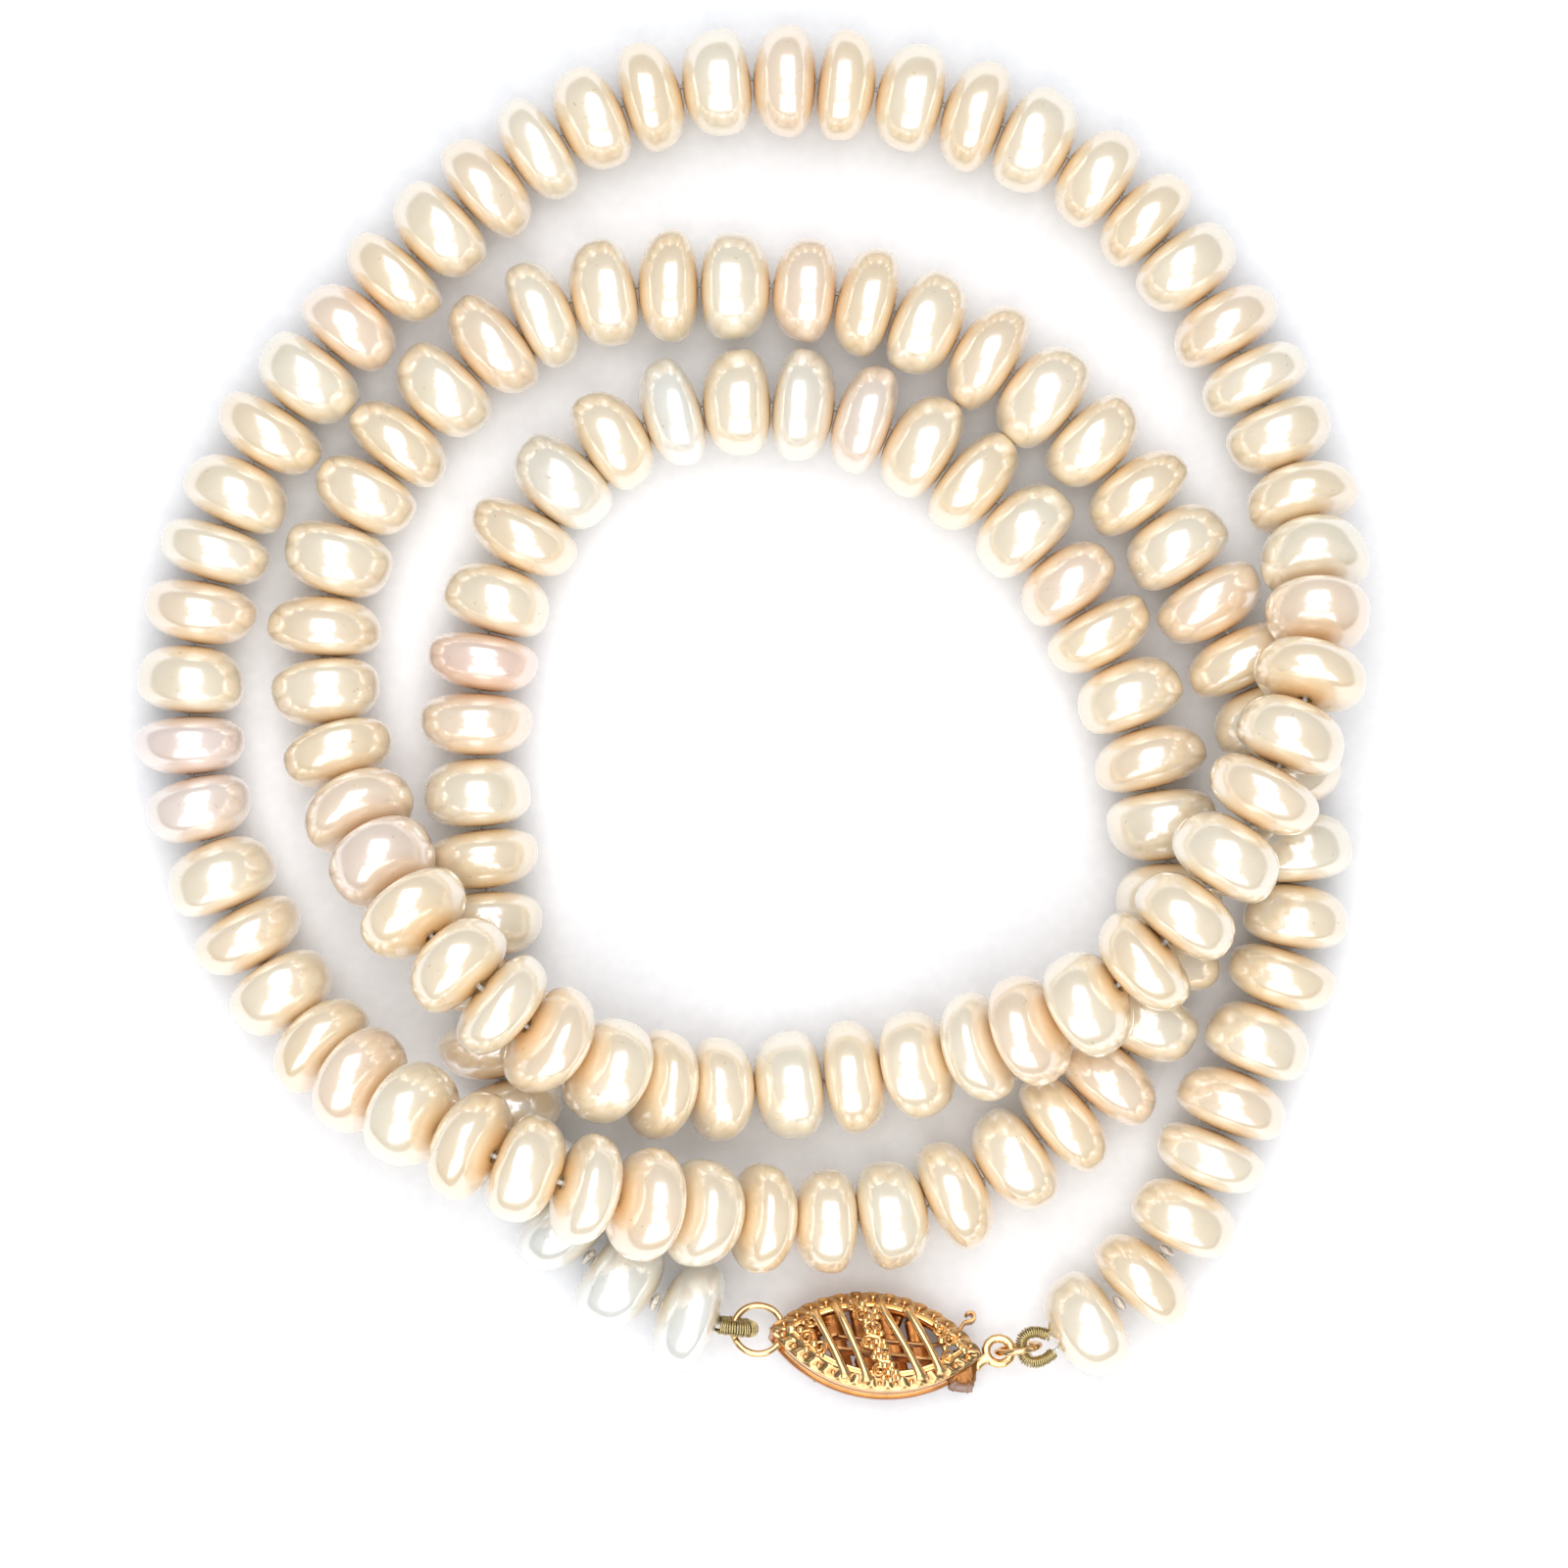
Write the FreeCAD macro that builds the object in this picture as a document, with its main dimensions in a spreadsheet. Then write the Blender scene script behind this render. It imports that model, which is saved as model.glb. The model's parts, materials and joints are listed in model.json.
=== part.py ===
"""Pearl necklace: one strand of button pearls laid down in a loose coil of three turns, closed by a
filigree fish-hook clasp.  Millimetres, +Z up, origin under the middle of the coil on the surface it
lies on.  The strand runs clockwise from the clasp's ring end, passes over itself three times and
comes back to the clasp's tongue."""
import FreeCAD, Part
import math
import os

import Sketcher
from FreeCAD import Placement, Rotation, Vector

doc = FreeCAD.newDocument("pearl_necklace")

# ---------------------------------------------------------------- driving dimensions
SIZES = [
    ("pearl_diameter", 6.6, "mean width of a pearl, across the thread"),
    ("pearl_length", 3.82, "mean length of a pearl, along the thread"),
    ("width_spread", 0.04, "how far a pearl's width strays from the mean, as a share"),
    ("length_spread", 0.12, "how far a pearl's length strays from the mean, as a share"),
    ("flat_share", 0.4, "the flatter side's share of a pearl's length"),
    ("fullness", 2.25, "a pearl's outline: 2 is an ellipse, more is boxier"),
    ("pearl_gap", 0.15, "space between neighbouring pearls"),
    ("bore_diameter", 0.9, "drilled hole"),
    ("thread_diameter", 0.3, "silk thread"),
    ("knot_width", 1.1, "knot, across the thread"),
    ("knot_length", 0.6, "knot, along the thread"),
    ("knot_clearance", 0.03, "space at each side of a knot"),
    ("joint_space", 0.03, "between lengths of thread that swing against each other"),
    ("tail_pearls", 9, "pearls that swing with the clasp's tongue"),
    ("coil_shift_x", 0.18, "brings the coil's middle over the origin"),
    ("coil_shift_y", 0.35, "brings the coil's middle over the origin"),
    ("gimp_diameter", 0.56, "French wire, outside"),
    ("gimp_bore", 0.4, "French wire, inside"),
    ("gimp_reach", 1.75, "mouth of the end pearl to the middle of the French wire's bend"),
    ("gimp_half_width", 0.9, "half the French wire loop's width, wire middle to wire middle"),
    ("link_point", 1.15, "mouth of the end pearl to the ring wire held in the loop"),
    ("ring_wire", 0.42, "jump ring wire"),
    ("ring_radius", 1.5, "jump ring at the housing, wire middle"),
    ("ring_rise", 0.43, "that ring's height above the housing's middle"),
    ("ring_overhang", 0.64, "that ring's middle beyond the housing's tip"),
    ("link_radius", 1.28, "jump ring at the tongue, wire middle"),
    ("clasp_length", 13.0, "housing, tip to tip"),
    ("clasp_width", 6.0, "housing, across"),
    ("clasp_depth", 3.1, "housing, rim to rim"),
    ("clasp_sink", 0.912, "housing's middle below the thread's resting height"),
    ("clasp_turn", -7.0, "housing's long axis from +X, degrees"),
    ("clasp_roll", -20.0, "housing's lean about its long axis, degrees"),
    ("rim_height", 0.7, "top and bottom rims"),
    ("rim_width", 0.6, "top and bottom rims"),
    ("wall", 0.3, "side band and domed covers"),
    ("dome_rise", 0.75, "dome above the rim's middle plane"),
    ("bar_width", 0.3, "filigree bars"),
    ("window_pitch", 1.35, "filigree windows, one to the next"),
    ("band_inset", 0.15, "side band's outside, in from the rims' edge"),
    ("band_inside", 0.45, "side band's inside, in from the rims' edge"),
    ("ring_end_inset", 1.3, "housing's tip to the side band's open end for the ring"),
    ("mouth_inset", 1.9, "housing's tip to the mouth"),
    ("post_diameter", 0.5, "posts inside the housing"),
    ("ring_post_inset", 0.3, "housing's tip to the post that holds the ring"),
    ("catch_place", 1.2, "housing's middle to the catch post, along"),
    ("catch_side", 1.45, "housing's middle to the catch post, across"),
    ("strip_height", 1.4, "tongue strip and spring leaf"),
    ("strip_thickness", 0.25, "tongue strip and spring leaf"),
    ("strip_gap", 0.55, "between tongue strip and spring leaf"),
    ("strip_offset", -0.15, "middle between strip and leaf, off the housing's long axis"),
    ("leaf_straight", 1.2, "end of the leaf's straight run, inside the tongue's root"),
    ("leaf_spread", 0.15, "leaf's rise along its straight run"),
    ("leaf_step", 0.1, "leaf's bend outside the mouth, beyond the tongue's root"),
    ("leaf_throw", 0.75, "leaf's rise at that bend"),
    ("tab_inset", 0.4, "thumb tab, in from the housing's widest"),
    ("tab_foot", 0.75, "thumb tab's foot, beyond the tongue's root"),
    ("tab_drop", 0.2, "thumb tab's foot below its tip"),
    ("tab_reach", 1.5, "thumb tab's tip, beyond the tongue's root"),
    ("tongue_reach", 7.4, "tongue strip inside the mouth"),
    ("guard_length", 1.5, "block at the tongue's root"),
    ("guard_width", 2.1, "block at the tongue's root"),
    ("guard_depth", 2.8, "block at the tongue's root"),
    ("guard_fillet", 0.2, "block's rounded edges"),
    ("guard_side", 0.75, "block's middle to the side of the housing's long axis"),
    ("neck_width", 0.8, "neck from the block to the eye"),
    ("eye_diameter", 2.1, "cast eye at the tongue's end"),
    ("eye_hole", 1.02, "hole of the eye"),
    ("eye_thickness", 0.5, "cast eye"),
    ("eye_overhang", 0.99, "eye beyond the housing's tip"),
    ("eye_side", 0.6, "eye to the side of the housing's long axis"),
    ("link_turn", 10.0, "line from the eye to the last pearl, from +X, degrees"),
    ("clearance", 0.12, "running clearance between the tongue and the housing"),
]

sheet = doc.addObject("Spreadsheet::Sheet", "sizes")
for row, (alias, value, note) in enumerate(SIZES, 1):
    sheet.set("A%d" % row, alias)
    sheet.set("B%d" % row, str(value))
    sheet.set("C%d" % row, note)
    sheet.setAlias("B%d" % row, alias)
doc.recompute()


def size(alias):
    """A driving dimension as a plain number."""
    return float(getattr(sheet, alias))


# Where the thread lies, in mean pearl widths: X, Y and its lift above its resting height.
ROUTE = [
    # first turn, from the clasp's ring end
    (-0.33, -5.64, 0.00), (-0.88, -5.48, 0.00), (-1.50, -5.06, 0.00), (-1.99, -4.41, 0.00), (-2.22, -3.68, 0.00),
    (-2.41, -3.03, 0.00), (-2.38, -2.33, 0.00), (-2.41, -1.59, 0.00), (-2.54, -0.82, 0.00), (-2.54, 0.05, 0.00),
    (-2.38, 0.93, 0.00), (-2.06, 1.72, 0.00), (-1.51, 2.37, 0.00), (-0.74, 2.74, 0.00), (0.15, 2.83, 0.00),
    (1.00, 2.70, 0.00), (1.76, 2.29, 0.00), (2.43, 1.72, 0.00), (2.97, 1.05, 0.00), (3.38, 0.30, 0.00),
    (3.67, -0.50, 0.00), (3.80, -1.36, 0.00), (3.82, -2.20, 0.00), (3.62, -2.94, 0.00), (3.17, -3.54, 0.00),
    (2.52, -4.05, 0.00), (1.80, -4.53, 0.00), (0.97, -4.72, 0.00),
    # over the first turn's start, then the outer turn
    (0.29, -4.67, 0.08), (-0.34, -4.60, 0.36), (-0.92, -4.50, 0.71), (-1.51, -4.33, 0.99), (-2.11, -4.10, 1.06),
    (-2.70, -3.85, 0.91), (-3.34, -3.55, 0.53), (-3.96, -3.10, 0.15), (-4.41, -2.44, 0.00), (-4.82, -1.71, 0.00),
    (-5.08, -0.95, 0.00), (-5.17, -0.14, 0.00), (-5.10, 0.71, 0.00), (-4.91, 1.54, 0.00), (-4.54, 2.33, 0.00),
    (-4.05, 3.06, 0.00), (-3.46, 3.73, 0.00), (-2.85, 4.39, 0.00), (-2.17, 5.00, 0.00), (-1.38, 5.45, 0.00),
    (-0.49, 5.73, 0.00), (0.40, 5.75, 0.00), (1.27, 5.63, 0.00), (2.11, 5.41, 0.00), (2.94, 5.03, 0.00),
    (3.63, 4.45, 0.00), (4.22, 3.71, 0.00), (4.66, 2.86, 0.00),
    # over the last turn's end and the first turn
    (5.01, 2.00, 0.07), (5.13, 1.26, 0.37), (5.09, 0.57, 0.78), (4.92, -0.04, 1.02), (4.64, -0.69, 1.05),
    (4.25, -1.35, 1.02), (3.84, -1.95, 1.06), (3.38, -2.43, 1.00), (2.81, -2.82, 0.75), (2.16, -3.05, 0.40),
    (1.47, -3.27, 0.11), (0.74, -3.40, 0.00), (0.02, -3.50, 0.00),
    # over the first turn again, then the middle turn
    (-0.57, -3.48, 0.13), (-1.15, -3.38, 0.46), (-1.70, -3.10, 0.84), (-2.21, -2.71, 1.03), (-2.67, -2.28, 1.03),
    (-3.08, -1.81, 0.82), (-3.43, -1.29, 0.45), (-3.72, -0.65, 0.11), (-3.92, 0.07, 0.00), (-3.94, 0.89, 0.00),
    (-3.73, 1.66, 0.00), (-3.29, 2.36, 0.00), (-2.71, 3.06, 0.00), (-2.03, 3.61, 0.00), (-1.17, 3.86, 0.00),
    (-0.30, 3.85, 0.00), (0.50, 3.85, 0.00), (1.31, 3.65, 0.00), (2.11, 3.27, 0.00), (2.83, 2.73, 0.00),
    (3.47, 2.05, 0.00), (4.03, 1.25, 0.00), (4.49, 0.41, 0.00), (4.83, -0.45, 0.00),
    # down to the clasp's tongue
    (5.03, -1.27, 0.00), (4.98, -2.02, 0.00), (4.74, -2.74, 0.00), (4.43, -3.50, 0.00), (4.14, -4.23, 0.00),
    (3.88, -4.86, 0.00), (3.47, -5.44, 0.00), (2.82, -5.80, 0.00),
]
BEND_SHARE = 0.45           # of the shorter run, taken by the arc at a point
PULLS = (0.15, 0.4, 0.7, 1.0)   # how far the clasp draws the route's last points to its own end
KNOTTED_GAPS = 2            # gaps with a knot, at each end of the strand
COIL_GROUPS = 16            # nodes that the pearls of the coil are grouped in
OUTLINE_STEPS = 6           # points on each side of a pearl's outline
FLAT_FIRST = 3              # one pearl in this many is strung with its flatter side first
LOOP_WIDEST = 0.45          # of the reach, where the French wire loop is widest
LOOP_BEND = 0.8             # of that half width, left at the loop's bend
BAR_LEAN = 32               # filigree bars, degrees from straight across the housing
MIDDLE_BAND = 0.15          # of a window pitch, added on each side of the filigree's middle band
SIDE_WINDOWS = 3            # filigree windows on each side of the middle band
GOLDEN = 0.61803398875      # spreads sizes evenly without a pattern

Z_AXIS = Vector(0, 0, 1)
parts = []


# ---------------------------------------------------------------- helpers
def keep(item, label):
    """Names a finished sub-part, so that it is checked and written."""
    item.Label = label
    parts.append(item)
    return item


def bind(item, **formulas):
    """Ties properties to the sheet; in a formula a driving dimension is written as its alias."""
    for prop, formula in formulas.items():
        item.setExpression(prop, formula)
    return item


def feature(label, shape, placement=None):
    """A sub-part whose shape is worked out here, because no Part or PartDesign feature makes it."""
    item = doc.addObject("Part::Feature", label)
    item.Shape = shape
    if placement is not None:
        item.Placement = placement
    return keep(item, label)


def tangent_path(points):
    """Straight runs joined by tangent arcs, each as large as its two runs allow; edges and radii."""
    edges, radii = [], []
    start = points[0]
    for before, corner, after in zip(points, points[1:], points[2:]):
        back, forward = before - corner, after - corner
        reach = BEND_SHARE * min(back.Length, forward.Length)
        back.normalize()
        forward.normalize()
        half_turn = (math.pi - back.getAngle(forward)) / 2
        radius = reach / math.tan(half_turn)
        first, last = corner + back * reach, corner + forward * reach
        inward = (back + forward).normalize()
        middle = corner + inward * (radius / math.cos(half_turn) - radius)
        edges.append(Part.LineSegment(start, first).toShape())
        edges.append(Part.Arc(first, middle, last).toShape())
        radii.append(radius)
        start = last
    edges.append(Part.LineSegment(start, points[-1]).toShape())
    return edges, radii


def tube(edges, radii):
    """A tube along joined edges; with two radii it is hollow."""
    start = edges[0].valueAt(edges[0].FirstParameter)
    along = edges[0].tangentAt(edges[0].FirstParameter)
    solids = []
    for radius in radii:
        section = Part.Wire([Part.Circle(start, along, radius).toShape()])
        solids.append(Part.Wire(edges).makePipeShell([section], True, True))
    return solids[0] if len(solids) == 1 else solids[0].cut(solids[1])


def part_of_path(edges, low, high):
    """The edges of a path between two lengths along it."""
    piece, done = [], 0.0
    for edge in edges:
        a, b = max(low - done, 0.0), min(high - done, edge.Length)
        if b - a > 1e-6:
            first, last = edge.getParameterByLength(a), edge.getParameterByLength(b)
            piece.append(edge.Curve.toShape(first, last))
        done += edge.Length
    return piece


def point_on_path(edges, length):
    """The point at a length along a path."""
    for edge in edges:
        if length <= edge.Length:
            return edge.valueAt(edge.getParameterByLength(max(length, 0.0)))
        length -= edge.Length
    return edges[-1].valueAt(edges[-1].LastParameter)


def stray(index, phase):
    """An even spread from -1 to 1 that never repeats."""
    return 2 * ((index * GOLDEN + phase) % 1.0) - 1


# ---------------------------------------------------------------- the clasp's frame
clasp_turn = Rotation(Z_AXIS, size("clasp_turn"))
clasp_lean = clasp_turn.multiply(Rotation(Vector(1, 0, 0), size("clasp_roll")))
long_axis = clasp_turn.multVec(Vector(1, 0, 0))
rest_height = size("pearl_diameter") / 2 * (1 + size("width_spread"))

coil_place = Vector(size("coil_shift_x"), size("coil_shift_y"), rest_height)
route = [Vector(x, y, lift) * size("pearl_diameter") + coil_place for x, y, lift in ROUTE]

# The ring wire hangs in the first French wire loop, and the housing follows from the ring.
ring_middle = Vector(-size("clasp_length") / 2 - size("ring_overhang"), 0, size("ring_rise"))
held_wire = ring_middle - Vector(size("ring_radius"), 0, 0)
drop = size("clasp_sink") - clasp_lean.multVec(held_wire).z
start_axis = long_axis * math.sqrt(size("link_point") ** 2 - drop ** 2) - Z_AXIS * drop
start_axis.normalize()
clasp_base = route[0] + start_axis * size("link_point") - clasp_lean.multVec(held_wire)
clasp_place = Placement(clasp_base, clasp_lean)

# The eye, the second ring and the second loop give the place of the strand's other end.
eye_middle = Vector(size("clasp_length") / 2 + size("eye_overhang"), size("eye_side"), 0)
link_axis = Rotation(Z_AXIS, size("link_turn")).multVec(Vector(1, 0, 0))
eye_world = clasp_place.multVec(eye_middle)
half_step = (rest_height - eye_world.z) / 2
link_cross = math.sqrt(size("link_radius") ** 2 - half_step ** 2)
link_middle = eye_world + link_axis * link_cross + Z_AXIS * half_step
strand_end = link_middle + link_axis * (link_cross + size("link_point")) + Z_AXIS * half_step
pull = strand_end - route[-1]
for place, share in enumerate(PULLS, len(route) - len(PULLS)):
    route[place] += pull * share

thread_path, thread_radii = tangent_path(route)
strand_length = sum(edge.Length for edge in thread_path)

# ---------------------------------------------------------------- pearls along the thread
knot_gap = size("knot_length") + 2 * size("knot_clearance")
pitch = size("pearl_length") + size("pearl_gap")
extra = 2 * KNOTTED_GAPS * (knot_gap - size("pearl_gap"))
pearl_count = round((strand_length - extra) / pitch)
gaps = [size("pearl_gap")] * (pearl_count - 1)
gaps[:KNOTTED_GAPS] = gaps[-KNOTTED_GAPS:] = [knot_gap] * KNOTTED_GAPS
lengths = [1 + size("length_spread") * stray(i, 0.3) for i in range(pearl_count)]
fill = (strand_length - sum(gaps)) / sum(lengths)
lengths = [length * fill for length in lengths]
gap_middles = []            # length along the thread, at the middle of the gap after each pearl


def pearl_shape(length, width, flat_first):
    """A button pearl about its hole along Z: a rounded outline turned round, one side flatter.

    At a share s of the half turn the outline stands cos(s) ^ (2 / n) of the half width from the hole and
    sin(s) ^ (2 / n) of the side's depth from the rim's plane, n being the fullness."""
    low = length * (size("flat_share") if flat_first else 1 - size("flat_share"))
    bore, rim = size("bore_diameter") / 2, width / 2
    power = 2 / size("fullness")
    outline = []
    for step in range(-OUTLINE_STEPS, OUTLINE_STEPS + 1):
        angle = math.acos((bore / rim) ** (1 / power)) * step / OUTLINE_STEPS
        depth = (length - low) if step > 0 else -low
        outline.append(Vector(rim * math.cos(angle) ** power, 0, depth * abs(math.sin(angle)) ** power))
    curve = Part.BSplineCurve()
    curve.interpolate(outline)
    wall = Part.LineSegment(outline[-1], outline[0]).toShape()
    solid = Part.Face(Part.Wire([curve.toShape(), wall])).revolve(Vector(), Z_AXIS, 360)
    solid.translate(Z_AXIS * (low - length / 2))
    return solid


pearls = []
station = 0.0
for index in range(pearl_count):
    mouth_in = point_on_path(thread_path, station)
    mouth_out = point_on_path(thread_path, station + lengths[index])
    width = size("pearl_diameter") * (1 + size("width_spread") * stray(index, 0.8))
    solid = pearl_shape(lengths[index], width, index % FLAT_FIRST == 0)
    turn = Rotation(Z_AXIS, mouth_out - mouth_in)
    solid.Placement = Placement((mouth_in + mouth_out) / 2, turn).multiply(solid.Placement)
    pearls.append(solid)
    station += lengths[index]
    if index < pearl_count - 1:
        gap_middles.append(station + gaps[index] / 2)
        station += gaps[index]

coil_count = pearl_count - round(size("tail_pearls"))
for group in range(COIL_GROUPS):
    first = group * coil_count // COIL_GROUPS
    last = (group + 1) * coil_count // COIL_GROUPS
    feature("coil_pearls_%02d" % (group + 1), Part.makeCompound(pearls[first:last]))
for number, solid in enumerate(pearls[coil_count:], 1):
    feature("tail_pearl_%d" % number, solid)


# ---------------------------------------------------------------- silk thread and knots
def thread_between(label, low, high):
    """The thread's own solid between two lengths along its path."""
    return feature(label, tube(part_of_path(thread_path, low, high), [size("thread_diameter") / 2]))


def knot(label, middles):
    """Knots pulled up against the drilled holes, one solid for each length along the thread."""
    solids = []
    for middle in middles:
        solid = Part.makeSphere(size("knot_width") / 2)
        squash = FreeCAD.Matrix()
        squash.scale(1, 1, size("knot_length") / size("knot_width"))
        solid = solid.transformGeometry(squash)
        hole = Part.makeCylinder(thread_hole / 2, size("knot_length"), Vector(0, 0, -size("knot_length") / 2))
        solid = solid.cut(hole)
        before = point_on_path(thread_path, middle - size("knot_length") / 2)
        after = point_on_path(thread_path, middle + size("knot_length") / 2)
        solid.Placement = Placement((before + after) / 2, Rotation(Z_AXIS, after - before))
        solids.append(solid)
    return feature(label, solids[0] if len(solids) == 1 else Part.makeCompound(solids))


thread_hole = size("gimp_bore")
tail_root = gap_middles[coil_count - 1]
joint_space = size("joint_space")
knotted = gap_middles[:KNOTTED_GAPS] + gap_middles[-KNOTTED_GAPS:]

thread_between("coil_thread", gap_middles[0], tail_root - joint_space)
knot("start_knots", gap_middles[:KNOTTED_GAPS])
for number in range(1, len(pearls) - coil_count):
    before, after = gap_middles[coil_count + number - 2], gap_middles[coil_count + number - 1]
    if before in knotted:
        before -= knot_gap / 2 - size("knot_clearance") - joint_space
    reach = knot_gap / 2 if after in knotted else 0.0
    thread_between("tail_thread_%d" % number, before + joint_space, after - reach - joint_space)
for number, middle in enumerate(gap_middles[-KNOTTED_GAPS:], 1):
    knot("tail_knot_%d" % number, [middle])


# ---------------------------------------------------------------- French wire loops at the two ends
def end_loop(name, mouth, inward, axis, side, depth):
    """The doubled thread of an end pearl and the French wire that guards its loop.

    inward points into the pearl's hole, axis along the loop to the ring and side across the loop."""
    leg = size("gimp_diameter") / 2 + size("knot_clearance") / 2
    level = inward.cross(axis.cross(side)).normalize()
    if level.dot(side) < 0:
        level = level * -1
    half = [
        mouth + inward * depth + level * (size("thread_diameter") / 2 + joint_space),
        mouth + level * leg,
        mouth + axis * (size("gimp_reach") * LOOP_WIDEST) + side * size("gimp_half_width"),
        mouth + axis * size("gimp_reach") + side * (size("gimp_half_width") * LOOP_BEND),
    ]
    mirrored = [spot - level * 2 * level.dot(spot - mouth) for spot in half[:2]]
    mirrored += [spot - side * 2 * side.dot(spot - mouth) for spot in half[2:]]
    edges, _ = tangent_path(half + mirrored[::-1])
    feature(name + "_thread_loop", tube(edges, [size("thread_diameter") / 2]))
    covered = edges[2:-2]
    feature(name + "_french_wire", tube(covered, [size("gimp_diameter") / 2, size("gimp_bore") / 2]))


inward = thread_path[0].tangentAt(thread_path[0].FirstParameter)
across = start_axis.cross(Z_AXIS).cross(start_axis).normalize()
end_loop("start", route[0], inward, start_axis, across, lengths[0] - joint_space)
inward = thread_path[-1].tangentAt(thread_path[-1].LastParameter) * -1
end_loop("tail", strand_end, inward, link_axis * -1, Z_AXIS.cross(link_axis), lengths[-1] - joint_space)


# ---------------------------------------------------------------- jump rings
def jump_ring(label, radius_alias, placement):
    ring = doc.addObject("Part::Torus", label)
    bind(ring, Radius1="sizes." + radius_alias, Radius2="sizes.ring_wire / 2")
    ring.Placement = placement
    return keep(ring, label)


jump_ring("housing_jump_ring", "ring_radius", clasp_place.multiply(Placement(ring_middle, Rotation())))
jump_ring("tongue_jump_ring", "link_radius",
          Placement(link_middle, Rotation(Z_AXIS, link_axis.cross(Z_AXIS))))


# ---------------------------------------------------------------- the clasp's housing
MOUTH = "sizes.clasp_length / 2 - sizes.mouth_inset"    # housing's middle to the mouth


def plane_of(body, role):
    return [item for item in body.Origin.OriginFeatures if item.Role == role][0]


def marquise_arcs(sketch, inset):
    """Two arcs that meet in points on the X axis, drawn in by an inset; bound to the housing's sizes."""
    span, across = size("clasp_length"), size("clasp_width")
    radius = (span ** 2 / 4 + across ** 2 / 4) / across
    middle = radius - across / 2
    inner = radius - (size(inset) if inset else 0.0)
    half_angle = math.acos(middle / inner)
    added = []
    for sense in (1, -1):
        circle = Part.Circle(Vector(0, -sense * middle, 0), Z_AXIS, inner)
        along = sense * math.pi / 2
        arc = Part.ArcOfCircle(circle, along - half_angle, along + half_angle)
        added.append(sketch.addGeometry(arc, False))
    top, bottom = added
    link = sketch.addConstraint
    constraint = Sketcher.Constraint
    link(constraint("Coincident", top, 2, bottom, 1))
    link(constraint("Coincident", bottom, 2, top, 1))
    radius_formula = "(sizes.clasp_length ^ 2 + sizes.clasp_width ^ 2) / 4 / sizes.clasp_width"
    middle_formula = "(%s - sizes.clasp_width / 2)" % radius_formula
    inner_formula = radius_formula + (" - sizes." + inset if inset else "")
    for arc in added:
        link(constraint("PointOnObject", arc, 3, -2))
        number = link(constraint("Radius", arc, inner))
        sketch.setExpression("Constraints[%d]" % number, inner_formula)
    number = link(constraint("DistanceY", top, 3, -1, 1, middle))
    sketch.setExpression("Constraints[%d]" % number, middle_formula)
    number = link(constraint("DistanceY", -1, 1, bottom, 3, middle))
    sketch.setExpression("Constraints[%d]" % number, middle_formula)


def marquise_body(name, insets, height_formula, base_formula):
    """A prism on marquise outlines; with two insets it is a ring."""
    body = doc.addObject("PartDesign::Body", name)
    sketch = body.newObject("Sketcher::SketchObject", name + "_outline")
    sketch.AttachmentSupport = [(plane_of(body, "XY_Plane"), "")]
    sketch.MapMode = "FlatFace"
    bind(sketch, **{".AttachmentOffset.Base.z": base_formula})
    for inset in insets:
        marquise_arcs(sketch, inset)
    pad = body.newObject("PartDesign::Pad", name + "_pad")
    pad.Profile = sketch
    bind(pad, Length=height_formula)
    body.Tip = pad
    return body


def boolean(kind, name, base, tool):
    item = doc.addObject("Part::" + kind, name)
    item.Base, item.Tool = base, tool
    return item


def box(name, **formulas):
    """A block bound to the sheet; X, Y and Z give its lowest corner."""
    item = doc.addObject("Part::Box", name)
    corner = {".Placement.Base." + axis: formulas.pop(axis) for axis in "xyz"}
    return bind(item, **formulas, **corner)


def ellipsoid(name, shrink):
    """The dome's surface: an ellipsoid about the housing's middle, drawn in by a formula."""
    item = doc.addObject("Part::Ellipsoid", name)
    bind(item, Radius1="sizes.dome_rise + sizes.rim_height - " + shrink,
         Radius2="sizes.clasp_length / 2 - " + shrink,
         Radius3="sizes.clasp_width / 2 - " + shrink,
         **{".Placement.Base.z": "sizes.clasp_depth / 2 - sizes.rim_height"})
    return item


def filigree_windows(name):
    """Slanting slots each side of the middle band, between the filigree bars."""
    slots = []
    for side in (-1, 1):
        for step in range(1, SIDE_WINDOWS + 1):
            slot = doc.addObject("Part::Box", "%s_slot" % name)
            bind(slot, Length="sizes.window_pitch - sizes.bar_width", Width="sizes.clasp_width",
                 Height="sizes.clasp_depth")
            turn = Rotation(Z_AXIS, BAR_LEAN)
            corner = Vector(-(size("window_pitch") - size("bar_width")) / 2, -size("clasp_width") / 2, 0)
            middle = Vector(side * size("window_pitch") * (step + MIDDLE_BAND), 0, 0)
            slot.Placement = Placement(middle + turn.multVec(corner), turn)
            slots.append(slot)
    windows = doc.addObject("Part::MultiFuse", name)
    windows.Shapes = slots
    return windows


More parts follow.
